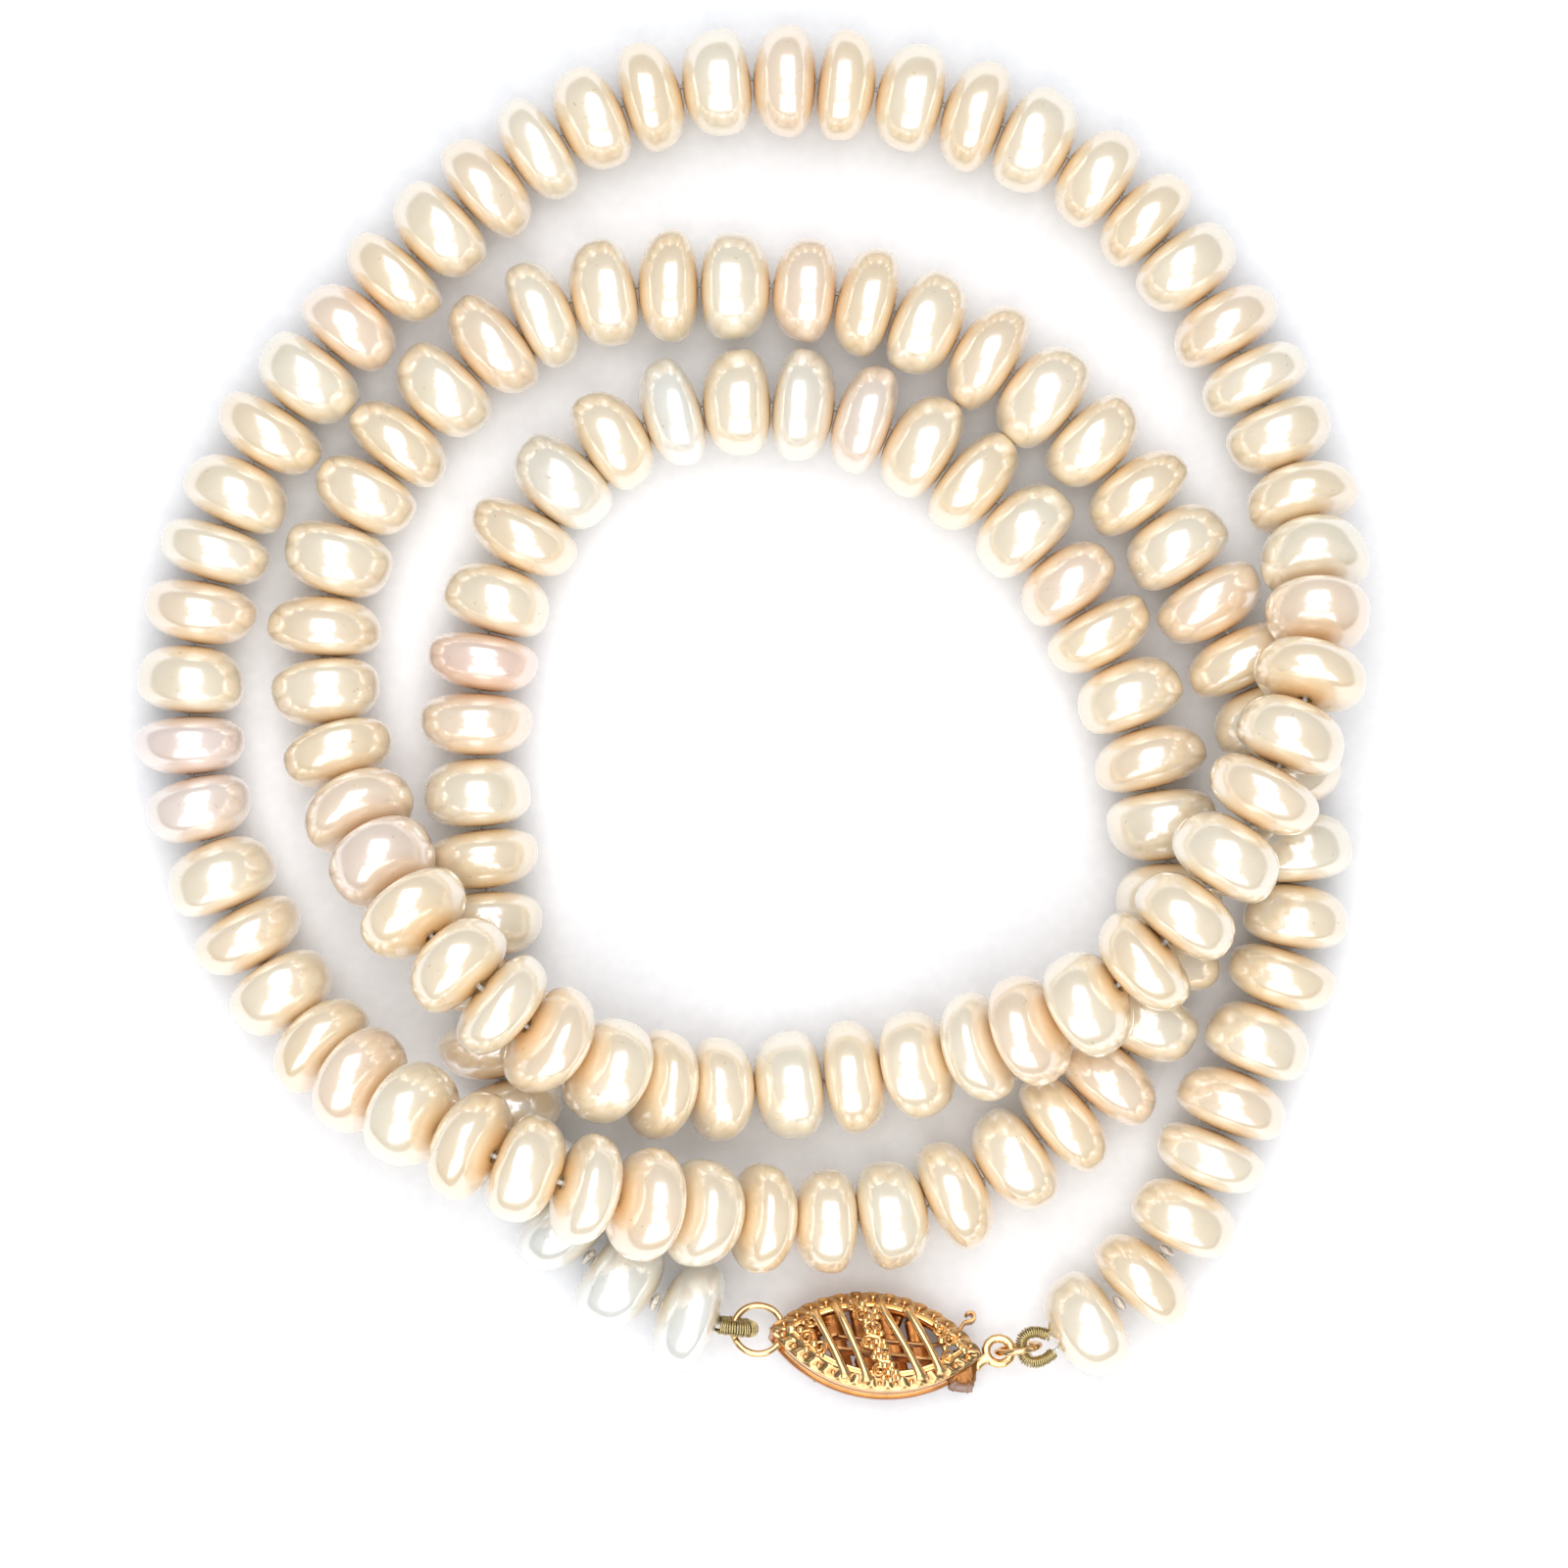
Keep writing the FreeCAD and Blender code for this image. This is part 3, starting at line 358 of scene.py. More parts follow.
def gilt(name, colour, dull, roughness, grain_depth, grain=2200.0):
    """Gold plate: bright on raised edges, darker in recesses with painted shade over some tarnish, tarnished in
    patches, with fine handling marks.
    """
    material, tree, shader = finish(name, Metallic=1.0, Coat_Weight=0.25, Coat_Roughness=0.12)
    recess_shade_and_tarnish = node(tree, "Attribute", {"attribute_name": "Recess"})
    patches = noise(tree, 900.0, 5.0, 0.6)
    dulled = mixed(tree, "MIX", ramp(tree, patches.outputs["Fac"], 0.48, 0.75, (0, 0, 0, 1), (0.35, 0.35, 0.35, 1)),
                   (*colour, 1), (*dull, 1))
    # Painted shade, with some tarnish: the recess mark darkens the gold towards the dull colour in recesses.
    tree.links.new(mixed(tree, "MIX", recess_shade_and_tarnish.outputs["Fac"], dulled, (*dull, 1)), shader.inputs["Base Color"])
    wear = node(tree, "MapRange", From_Min=0.3, From_Max=0.7, To_Min=roughness * 0.7, To_Max=roughness * 1.5)
    tree.links.new(patches.outputs["Fac"], wear.inputs["Value"])
    tree.links.new(wear.outputs["Result"], shader.inputs["Roughness"])
    relief(tree, shader, noise(tree, grain, 4.0).outputs["Fac"], 0.35, grain_depth)
    return material


# ------------------------------------------------------------------ routes
def spline_of(name, points, radius=0.0):
    """A smooth open cord: a quadratic spline with the points as its control points."""
    curve = bpy.data.curves.new(name, "CURVE")
    curve.dimensions = "3D"
    curve.resolution_u = 12
    curve.bevel_depth = radius
    curve.bevel_resolution = 3
    curve.use_fill_caps = True
    spline = curve.splines.new("NURBS")
    spline.points.add(len(points) - 1)
    spline.points.foreach_set("co", np.column_stack([points, np.ones(len(points))]).ravel())
    spline.order_u = 3
    spline.use_endpoint_u = True
    return linked(name, curve)


def line_of(points):
    """The smooth line of a route, as closely spaced points with their lengths along it."""
    cord = spline_of("route", points)
    bpy.context.view_layer.update()
    mesh = bpy.data.meshes.new_from_object(cord)
    line = np.empty(len(mesh.vertices) * 3)
    mesh.vertices.foreach_get("co", line)
    line = line.reshape(-1, 3)
    curve = cord.data
    bpy.data.objects.remove(cord)
    bpy.data.curves.remove(curve)
    bpy.data.meshes.remove(mesh)
    run = np.concatenate([[0.0], np.cumsum(np.linalg.norm(np.diff(line, axis=0), axis=1))])
    return line, run


def at_length(line, run, lengths):
    """Points at lengths along a line."""
    return np.stack([np.interp(lengths, run, line[:, k]) for k in range(3)], -1)


def length_at(line, run, point):
    """The length along a line at its nearest point to another."""
    return run[np.argmin(np.linalg.norm(line - point, axis=1))]


def joint(name):
    """A joint of the frame, by name."""
    return [j for j in frame["joints"] if j["name"] == name][0]


def strand():
    """The thread strung as the solids are: its control points, its line with the lengths along it, then each
    pearl's start and length along it, and the gaps between pearls."""
    points = np.array(ROUTE) * PEARL_WIDTH + COIL_SHIFT + UP * REST_HEIGHT
    line, run = line_of(points)
    count = sum(name.startswith("tail_pearl") for name in frame["nodes"]) + coil_pearl_count()
    gaps = np.full(count - 1, PEARL_GAP)
    gaps[:KNOTTED_GAPS] = gaps[-KNOTTED_GAPS:] = KNOT_GAP
    lengths = np.array([1 + LENGTH_SPREAD * stray(i, 0.3) for i in range(count)])
    lengths *= (run[-1] - gaps.sum()) / lengths.sum()
    starts = np.concatenate([[0.0], np.cumsum(lengths[:-1] + gaps)])
    return points, line, run, starts, lengths, gaps


def coil_pearl_count():
    """Pearls of the coil, from the solids the frame's record counts in collision."""
    rows = frame["record"]["physics"]["collision_by_node"]
    return sum(row["pieces"] for row in rows if row["node"].startswith("coil_pearls"))


# ------------------------------------------------------------------ pearls
def pearl(index, start_point, end_point, width, length):
    """One button pearl about its drilled hole, closed through the hole.

    Its outline is a super-ellipse from mouth to mouth: half width times cos, and side depth times sin, of the
    turn, raised to 2 over the fullness. Round the hole it swells and dips by a few hundredths (waves of two
    and three), leans a little on the thread and has one flatter side, as grown pearls do."""
    around, steps = 56, 34
    odd, lean, full = stray(index, 0.11), stray(index, 0.57), 2.32 + 0.22 * abs(stray(index, 0.41))
    low = 0.4 if index % 3 == 0 else 0.6     # share of its length on the side of its widest ring that comes first
    limit = math.acos((BORE / width) ** (full / 2))
    turn = np.linspace(-limit, limit, steps)[:, None]
    angle = np.arange(around)[None, :] * 2 * np.pi / around
    share = np.cos(turn) ** (2 / full)
    depth = np.where(turn > 0, 1 - low, -low) * length * np.abs(np.sin(turn)) ** (2 / full)
    swell = 1 + share * (0.014 * np.cos(2 * angle + 9 * odd) + 0.009 * np.cos(3 * angle + 7 * lean))
    radius = width / 2 * share * swell
    tilt = share ** 2 * length * (0.018 * np.sin(angle + 5 * odd) + 0.012 * np.sin(2 * angle + 6 * lean))
    along = unit(end_point - start_point)
    side = unit(np.cross(UP, along))
    up = np.cross(along, side)
    height = (low - 0.5) * length + depth + tilt
    points = ((start_point + end_point) / 2 + along * height[..., None]
              + side * (radius * np.cos(angle))[..., None] + up * (radius * np.sin(angle))[..., None])
    rim = np.broadcast_to(share, radius.shape)
    rosy, green = max(0.0, stray(index, 0.77) - 0.55), max(0.0, stray(index, 0.36) - 0.62)
    body = CREAM + CREAM_STRAY * stray(index, 0.23) + rosy * ROSY_STRAY + green * GREEN_STRAY
    if index + 1 in MARKED_PEARLS:
        body = np.array(MARKED_PEARLS[index + 1]) * MARKED_SHADE
    # Painted warm shade towards the holes, where the neighbouring pearls stand: nought round the widest ring, rising
    # to the mouths.
    neighbour_shade = np.clip(1.15 - 1.25 * rim, 0, 1) ** 1.2
    marks = {"Body": np.broadcast_to(body, (*radius.shape, 3)), "Side": neighbour_shade}
    return shape(points, grid(steps, around, wrap_rows=True), **marks)


class NecklacePearls(bpy.types.PropertyGroup):
    """Sizes and colours of the pearls."""
    pearl_width: length_of("Pearl width", "Mean width across the hole", PEARL_WIDTH)
    # The colour that the painted warm shade towards the holes multiplies in.
    neighbour_shade_tint: FloatVectorProperty(name="Warm side", description="Tint of the nacre towards the holes",
                                    default=(0.97, 0.77, 0.50), subtype="COLOR")


class NECKLACE_OT_string_pearls(bpy.types.Operator):
    """String the pearls along the thread: runs of the coil, and the last ones on their own bodies"""
    bl_idname = "necklace.string_pearls"
    bl_label = "String the pearls"

    def execute(self, context):
        sizes = context.scene.necklace_pearls
        _, line, run, starts, lengths, _ = strand()
        mouths, ends = at_length(line, run, starts), at_length(line, run, starts + lengths)
        skin = nacre(sizes)
        made = [pearl(i, mouths[i], ends[i], sizes.pearl_width * (1 + WIDTH_SPREAD * stray(i, 0.8)), lengths[i])
                for i in range(len(lengths))]
        coiled = len(made) - TAIL_PEARLS
        for group in range(COIL_GROUPS):
            held = made[group * coiled // COIL_GROUPS:(group + 1) * coiled // COIL_GROUPS]
            label = "coil_pearls_%02d" % (group + 1)
            piece("pearls_" + label[-2:], held, skin, "coil", label, merge=False, sharp=60)
        for number, solid in enumerate(made[coiled:], 1):
            piece("last_pearl_%d" % number, [solid], skin, "tail_%d" % number,
                  "tail_pearl_%d" % number, merge=False, sharp=60)
        return {"FINISHED"}


# ------------------------------------------------------------------ silk
def knot(middle, along, width):
    """A pulled knot: a flattened ball whose skin rises and falls with three plies that wind round it."""
    rows, cols = 18, 30
    latitude = np.linspace(-np.pi / 2, np.pi / 2, rows)[:, None]
    turn = np.arange(cols)[None, :] * 2 * np.pi / cols
    plies = 1 + 0.10 * np.cos(3 * turn + 2.5 * latitude) * np.cos(latitude)
    side = unit(np.cross(along, UP))
    up = np.cross(side, along)
    flat = width / 2 * plies * np.cos(latitude)
    points = (middle + side * (flat * np.cos(turn))[..., None] + up * (flat * np.sin(turn))[..., None]
              + along * (KNOT_LENGTH / 2 * np.sin(latitude) * np.ones_like(turn))[..., None])
    return shape(points, grid(rows, cols))


class NecklaceSilk(bpy.types.PropertyGroup):
    """Sizes of the silk."""
    thread: length_of("Thread", "Thickness of the silk thread", 0.3 * MM)
    knot_width: length_of("Knot", "Width of a pulled knot", 1.1 * MM)


class NECKLACE_OT_lay_silk(bpy.types.Operator):
    """Lay the thread through the coil and tie the knots at its two ends"""
    bl_idname = "necklace.lay_silk"
    bl_label = "Lay the silk"

    def execute(self, context):
        sizes = context.scene.necklace_silk
        points, line, run, starts, _, gaps = strand()
        white = silk()
        hinge = np.array(joint("strand_bend_1")["pos_m"])
        middles = starts[1:] - gaps / 2
        low, high = middles[0] + 1 * MM, length_at(line, run, hinge) - 1 * MM
        between = [point for point in points if low < length_at(line, run, point) < high]
        route = np.array([at_length(line, run, middles[0]), *between, hinge])
        thread = spline_of("thread_through_the_coil", route, sizes.thread / 2)
        thread.data.materials.append(white)
        hang(thread, "coil", "coil_thread")
        further = [name for name in frame["nodes"] if name.startswith("tail_thread") or name == "start_thread_loop"]
        for label, body, stands, places in (
                ("knots_by_the_first_pearls", "coil", "start_knots", middles[:KNOTTED_GAPS]),
                ("knot_before_the_last_but_one", "tail_8", "tail_knot_1", middles[-2:-1]),
                ("knot_before_the_last", "tail_9", "tail_knot_2", middles[-1:])):
            balls = []
            for place in places:
                low, high = at_length(line, run, place + np.array([-0.3, 0.3]) * MM)
                balls.append(knot((low + high) / 2, unit(high - low), sizes.knot_width))
            piece(label, balls, white, body, stands)
        for name in further:
            dress(frame["nodes"][name], white)
        return {"FINISHED"}


def dress(solid, material):
    """Gives its finish to a node that stays."""
    solid.data.materials.clear()
    solid.data.materials.append(material)


# ------------------------------------------------------------------ the clasp's own frame
LONG = unit(np.array(joint("clasp_slide")["axis"]))
NORMAL = unit(np.array(joint("housing_ring_turn")["axis"]))
CROSS = np.cross(NORMAL, LONG)
RING_MIDDLE = np.array(joint("housing_ring_turn")["pos_m"])
LINK_MIDDLE = np.array(joint("tongue_ring_turn")["pos_m"])
LINK_AXIS = unit(np.array(joint("tongue_ring_turn")["axis"]))
LINK_ALONG = np.cross(UP, LINK_AXIS)
RING_RADIUS, LINK_RADIUS, RING_WIRE = 1.5 * MM, 1.28 * MM, 0.42 * MM
RING_RISE, RING_OVERHANG = 0.43 * MM, 0.64 * MM     # the ring's middle above the housing's, and past its tip
CLASP_LENGTH, CLASP_WIDTH, CLASP_DEPTH = 13.0, 6.0, 3.1     # millimetres, in the housing's own frame
HOUSING_MIDDLE = RING_MIDDLE + LONG * (CLASP_LENGTH * MM / 2 + RING_OVERHANG) - NORMAL * RING_RISE
OUTLINE_RADIUS = (CLASP_LENGTH ** 2 + CLASP_WIDTH ** 2) / 4 / CLASP_WIDTH
OUTLINE_DROP = OUTLINE_RADIUS - CLASP_WIDTH / 2
RIM_HEIGHT, DOME_RISE = 0.7, 0.75           # the dome rises this far above the rim's top
RIM_FOOT = CLASP_DEPTH / 2 - RIM_HEIGHT     # the rim's base plane, above the housing's middle


def placed(local):
    """Points of the housing's own frame, in millimetres, as points of the row frame."""
    local = np.asarray(local, float)
    return HOUSING_MIDDLE + (LONG * local[..., :1] + CROSS * local[..., 1:2] + NORMAL * local[..., 2:3]) * MM


def outline(inset, share):
    """The marquise outline drawn in by an inset: share 0 to 1 runs back along one arc, 1 to 2 along the other.

    Each arc belongs to a circle of the outline's radius less the inset, about a middle on the Y axis, and
    they meet in points on the X axis."""
    inset, share = np.broadcast_arrays(np.asarray(inset, float), np.asarray(share, float))
    radius = OUTLINE_RADIUS - inset
    half = np.arccos(OUTLINE_DROP / radius)
    upper = share < 1
    angle = half * np.where(upper, 1 - 2 * share, 2 * (share - 1) - 1)
    x = radius * np.sin(angle)
    y = radius * np.cos(angle) - OUTLINE_DROP
    return x, np.where(upper, y, -y)


def dome_height(x, y, lift):
    """Height of the domed filigree: a half ellipsoid on the rim's base plane."""
    inside = np.clip(1 - (x / (CLASP_LENGTH / 2)) ** 2 - (y / (CLASP_WIDTH / 2)) ** 2, 0, 1)
    return RIM_FOOT + (DOME_RISE + RIM_HEIGHT) * np.sqrt(inside) + lift


# ------------------------------------------------------------------ French wire and jump rings
WOUND_STEPS = 14                # stations to a turn of the wound wire
START_GIMP_RADIUS = 0.5 * MM    # the French wire at the first pearl, and at the last, which is drawn out thinner
TAIL_GIMP_RADIUS = 0.37 * MM


def end_route(mouth, inward, axis, side, depth):
    """Control points of a doubled thread end: out of the last pearl, round the ring's wire and back.

    The loop leaves the mouth narrow, swells and narrows again at the wire, each point mirrored on its far side."""
    level = unit(np.cross(inward, np.cross(axis, side)))
    level *= np.sign(level @ side)
    out = [mouth + inward * depth + level * 0.18 * MM, mouth + level * 0.295 * MM,
           mouth + axis * 0.95 * MM + side * 0.98 * MM, mouth + axis * 2.10 * MM + side * 0.82 * MM]
    back = [p - d * 2 * (d @ (p - mouth)) for p, d in zip(out, (level, level, side, side))]
    return np.array(out + back[::-1])


def wound(line, run, low, high, radius, wire, pitch, normal):
    """A fine wire wound round a line in close turns: the line plus its radius, once round for each pitch."""
    lengths = np.linspace(low, high, int((high - low) / pitch * WOUND_STEPS))
    middle = at_length(line, run, lengths)
    along = unit(np.gradient(middle, axis=0))
    first = unit(normal - along * (along @ normal)[:, None])
    second = np.cross(along, first)
    turn = (2 * np.pi * (lengths - low) / pitch)[:, None]
    out = first * np.cos(turn) + second * np.sin(turn)
    swell = 1 + 0.06 * np.sin(turn / 2.7 + 1.0) + 0.04 * np.sin(turn / 7.3)
    return tube(middle + out * radius * swell, wire, wire, out, around=8)


def ring(middle, axis, radius, opening, turn):
    """A jump ring: a round wire bent round its axis until its two ends all but meet, at a turn about it."""
    first = unit(np.cross(axis, UP) if abs(axis[2]) < 0.9 else np.cross(axis, [0.0, 1.0, 0.0]))
    second = np.cross(axis, first)
    angle = turn + np.linspace(opening, 2 * np.pi - opening, 110)[:, None]
    out = first * np.cos(angle) + second * np.sin(angle)
    thick = RING_WIRE / 2 * (1 + 0.02 * np.sin(5 * angle[:, 0]) + 0.015 * np.sin(11 * angle[:, 0]))
    return tube(middle + out * radius, thick, thick, axis, around=18)


class NecklaceFindings(bpy.types.PropertyGroup):
    """Sizes of the French wire and the jump rings."""
    gimp_wire: length_of("French wire", "Thickness of the wound wire", 0.13 * MM)
    gimp_pitch: length_of("Turns", "Distance from turn to turn", 0.125 * MM)
    ring_opening: FloatProperty(name="Ring opening", description="Angle left where a ring's two ends meet",
                                default=0.15, unit="ROTATION", subtype="ANGLE")


class NECKLACE_OT_wind_french_wire(bpy.types.Operator):
    """Wind the French wire that guards the thread's two loops"""
    bl_idname = "necklace.wind_french_wire"
    bl_label = "Wind the French wire"

    def execute(self, context):
        sizes = context.scene.necklace_findings
        metal = gilt("french_wire", (0.52, 0.42, 0.20), (0.10, 0.075, 0.03), 0.28, 0.02 * MM)
        _, line, _, _, lengths, _ = strand()
        start_axis = unit(RING_MIDDLE - LONG * RING_RADIUS - line[0])
        across = unit(np.cross(np.cross(start_axis, UP), start_axis))
        ends = (("french_wire_at_the_housing", "coil", "start_french_wire", line[0], unit(line[1] - line[0]),
                 start_axis, across, lengths[0], START_GIMP_RADIUS),
                ("french_wire_at_the_tongue", "tail_9", "tail_french_wire", line[-1], unit(line[-2] - line[-1]),
                 -LINK_ALONG, np.cross(UP, LINK_ALONG), lengths[-1], TAIL_GIMP_RADIUS))
        half = sizes.gimp_wire / 2
        for label, body, stands, mouth, inward, axis, side, depth, radius in ends:
            route = end_route(mouth, inward, axis, side, depth - 0.03 * MM)
            loop, run_round = line_of(route)
            low, high = (length_at(loop, run_round, near * 0.75 + far * 0.25)
                         for near, far in (route[1:3], route[6:4:-1]))
            skin = wound(loop, run_round, low, high, radius - half, half, sizes.gimp_pitch, np.cross(axis, side))
            piece(label, [skin], metal, body, stands)
        return {"FINISHED"}


class NECKLACE_OT_close_jump_rings(bpy.types.Operator):
    """Close the two jump rings, one through the housing and one through the tongue's eye"""
    bl_idname = "necklace.close_jump_rings"
    bl_label = "Close the jump rings"

    def execute(self, context):
        opening = context.scene.necklace_findings.ring_opening
        metal = gilt("jump_ring_gilt", (0.86, 0.56, 0.27), (0.36, 0.15, 0.05), 0.16, 0.006 * MM)
        for place, middle, axis, radius, turn in (("housing", RING_MIDDLE, NORMAL, RING_RADIUS, 0.4),
                                                  ("tongue", LINK_MIDDLE, LINK_AXIS, LINK_RADIUS, 4.0)):
            piece("jump_ring_at_the_" + place, [ring(middle, axis, radius, opening / 2, turn)], metal,
                  place + "_ring", place + "_jump_ring")
        return {"FINISHED"}


# ------------------------------------------------------------------ the clasp's housing
MOUTH = 4.6            # housing's middle to the mouth, along
RING_OPEN_END = 5.2    # housing's middle to the side band's end at the ring
RIM_TILES = 14         # milgrain tiles along each side of the rim
RIM_STEPS = 12         # stations to a tile
# Filigree bars of the domed top, across the housing from one rim to the other: start and end, X and Y.
TOP_BARS = [((-3.95, 1.15), (-1.55, -2.42)), ((-2.72, 1.80), (-0.22, -2.50)),
            ((-0.10, 2.10), (2.98, -2.00)), ((1.62, 2.00), (4.10, -1.50))]
# The scroll between the bars: a stem that waves from rim to rim, X and Y, then the curls that spring from it,
# each its middle, its size and where it starts to turn, and the nuggets that cluster on it, middle and radius.
STEM = [(-1.62, 2.20), (-1.30, 1.75), (-0.62, 1.55), (-0.35, 1.05), (-0.78, 0.62), (-0.45, 0.10), (0.10, -0.05),
        (0.18, -0.55), (-0.02, -0.98), (0.42, -1.38), (0.92, -1.40), (1.15, -1.85), (1.30, -2.35)]
CURLS = [(-1.05, 1.20, 0.42, 0.4), (-0.20, 0.62, 0.40, 3.4), (-0.52, -0.38, 0.40, 1.2), (0.52, -0.85, 0.40, 4.0),
         (0.36, -1.92, 0.40, 2.0), (-1.72, 1.72, 0.34, 5.2)]
NUGGETS = [(-1.10, 1.98, 0.20), (-0.86, 1.62, 0.17), (-0.30, 1.62, 0.20), (-0.62, 1.22, 0.16), (-0.12, 1.24, 0.17),
           (-0.80, 0.92, 0.18), (-0.36, 0.80, 0.15), (-0.62, 0.28, 0.20), (-0.16, 0.34, 0.17), (0.22, 0.22, 0.17),
           (-0.02, -0.28, 0.18), (0.42, -0.24, 0.16), (-0.28, -0.62, 0.17), (0.16, -0.76, 0.18), (0.52, -0.52, 0.15),
           (-0.06, -1.22, 0.18), (0.34, -1.14, 0.17), (0.76, -1.12, 0.18), (0.64, -1.62, 0.20), (1.06, -1.52, 0.18),
           (0.36, -1.56, 0.15), (0.90, -1.98, 0.20), (1.34, -1.92, 0.20), (0.66, -2.28, 0.18), (1.08, -2.36, 0.18),
           (1.52, -2.22, 0.17), (0.98, -1.74, 0.14)]
# The small scrolls and balls near the two tips, in the same terms.
SMALL_SCROLLS = [(-4.05, 0.55, 0.42, 2.6), (-4.20, -0.45, 0.44, 0.8), (-3.35, -0.98, 0.46, 4.4),
                 (3.72, 1.00, 0.40, 3.6), (4.38, 0.42, 0.42, 0.6), (4.40, -0.62, 0.40, 1.6)]
SCROLL_BALLS = [(-3.72, -0.80, 0.26), (-4.12, -1.18, 0.22), (-4.62, -0.05, 0.24), (-3.20, -1.42, 0.18),
                (3.86, 0.34, 0.27), (4.12, -0.10, 0.20), (3.44, 1.22, 0.19), (4.86, 0.24, 0.18), (-4.50, 0.42, 0.17)]
# Bars of the bottom, from one rim to the other: X at each end.
BOTTOM_BARS = [(-2.9, -4.3), (-1.2, -2.9), (0.6, -1.2), (2.2, 0.5), (3.6, 2.2)]


def band(shares, insets, heights, closed=False, **marks):
    """A profile carried round the marquise: each station is a closed run of insets and heights.

    The ends of an open band, which has no marks, are closed by rows that stand at the profile's middle."""
    insets = np.broadcast_to(insets, (len(shares), np.shape(insets)[-1]))
    heights = np.broadcast_to(heights, insets.shape)
    x, y = outline(insets, shares[:, None])
    local = np.stack([x, y, heights], -1)
    if not closed:
        ends = [np.repeat(local[row].mean(0, keepdims=True)[None], local.shape[1], 1) for row in (0, -1)]
        local = np.concatenate([ends[0], local, ends[1]])
    return shape(placed(local), grid(len(local), local.shape[1], wrap_rows=closed), **marks)


def share_at(x, inset):
    """The share of the upper arc where the outline, drawn in by an inset, stands at an X."""
    radius = OUTLINE_RADIUS - inset
    return (1 - math.asin(x / radius) / math.acos(OUTLINE_DROP / radius)) / 2


def on_dome(path, lift):
    """Points of the housing's plan, lifted onto the dome."""
    path = np.asarray(path, float)
    return placed(np.column_stack([path, dome_height(path[:, 0], path[:, 1], lift)]))


def under_dome(path):
    """Points of the housing's plan, set just inside the bottom's dome."""
    return placed(np.column_stack([path, -dome_height(path[:, 0], path[:, 1], -0.12)]))


def smoothed(points, steps):
    """A smooth run through points of the plan: each stretch is the cubic of its four nearest points."""
    points = np.asarray(points, float)
    through = [2 * points[0] - points[1], *points, 2 * points[-1] - points[-2]]
    t = np.linspace(0, 1, steps, endpoint=False)[:, None]
    runs = [0.5 * (2 * b + (c - a) * t + (2 * a - 5 * b + 4 * c - d) * t ** 2 + (3 * b - a - 3 * c + d) * t ** 3)
            for a, b, c, d in zip(through, through[1:], through[2:], through[3:])]
    return np.concatenate([*runs, points[-1:]])


def curl(x, y, size, start, turns=1.35):
    """A curl's plan: a spiral whose reach shrinks from its size to a quarter while it turns."""
    angle = np.linspace(0, turns * 2 * np.pi, 26)
    reach = size * (1 - 0.75 * angle / angle[-1])
    return np.column_stack([x + reach * np.cos(start + angle), y + reach * np.sin(start + angle)])


def straight(start, end, steps):
    """A straight run of points, and the share of its length at each of them."""
    share = np.linspace(0, 1, steps)
    return np.array(start) * (1 - share[:, None]) + np.array(end) * share[:, None], share


def filigree_bar(start, end, wide):
    """A bar over the dome with a soft ridge; it widens where it runs into the rims."""
    path, share = straight(start, end, 22)
    flare = 1 + 0.55 * np.abs(2 * share - 1) ** 8 + 0.05 * np.sin(9 * share + 3 * start[0])
    return tube(on_dome(path, -0.02), wide * flare, 0.17 * MM, NORMAL, power=1.7)


def milgrain_rim():
    """The top's rim: a polished foot, a sloping band of milgrain tiles and a thin polished line inside it.

    Along the rim the tiles' walls stand where the cosine of the tile's turn peaks; between them the slope is
    hollow and the foot's edge swells outwards."""
    shares = np.arange(2 * RIM_TILES * RIM_STEPS) / (RIM_TILES * RIM_STEPS)
    wall = (np.abs(np.cos(np.pi * shares * RIM_TILES)) ** 5)[:, None]
    hollow = 1 - wall
    insets = np.array([0.10, 0.02, 0.0, 0.03, 0.10, 0.12, 0.08, 0.14, 0.24, 0.38, 0.52, 0.64, 0.68, 0.72, 0.82, 0.90,
                       0.84, 0.76, 0.40])
    heights = RIM_FOOT + np.array([0.0, 0.04, 0.14, 0.24, 0.28, 0.26, 0.34, 0.42, 0.50, 0.60, 0.70, 0.78, 0.78, 0.90,
                                   0.96, 0.88, 0.60, 0.0, 0.0])
    swell = np.array([0] * 5 + [0.3, 1, 0.5] + [0] * 11)              # how much each point of the profile swells
    sunk = np.array([0] * 7 + [0.4, 1, 1, 1, 0.5] + [0] * 7)          # how much it is hollowed
    seam_shade_and_dirt = np.array([0] * 4 + [0.5, 0.9, 0.2] + [0] * 5 + [0.6] + [0] * 6)    # how much painted shade, with some dirt, its seams hold
    insets = insets - 0.09 * swell * hollow + 0.05 * swell * wall
    heights = heights - 0.11 * sunk * hollow + 0.05 * sunk * wall
    # The hollows between the tiles and the seams are darkened: painted shade, with some tarnish and dirt.
    skins = [band(shares, insets, heights, closed=True, Recess=np.clip(0.65 * sunk * hollow + seam_shade_and_dirt, 0, 1))]
    middles = (np.arange(2 * RIM_TILES) + 0.5) / RIM_TILES
    for number, (x, y) in enumerate(zip(*outline(0.37, middles))):
        size = 0.15 * (1 + 0.12 * stray(number, 0.3))
        skins.append(bead(placed([x, y, RIM_FOOT + 0.53]), size * MM, 0.9, NORMAL))
    return skins


def polished_line(inset, height, radius):
    """A thin wire laid all round the marquise at an inset and a height."""
    x, y = outline(inset, np.arange(160) / 80)
    path = placed(np.column_stack([x, y, np.full(len(x), height)]))
    return tube(path, radius * MM, radius * MM, NORMAL, around=10, closed=True)


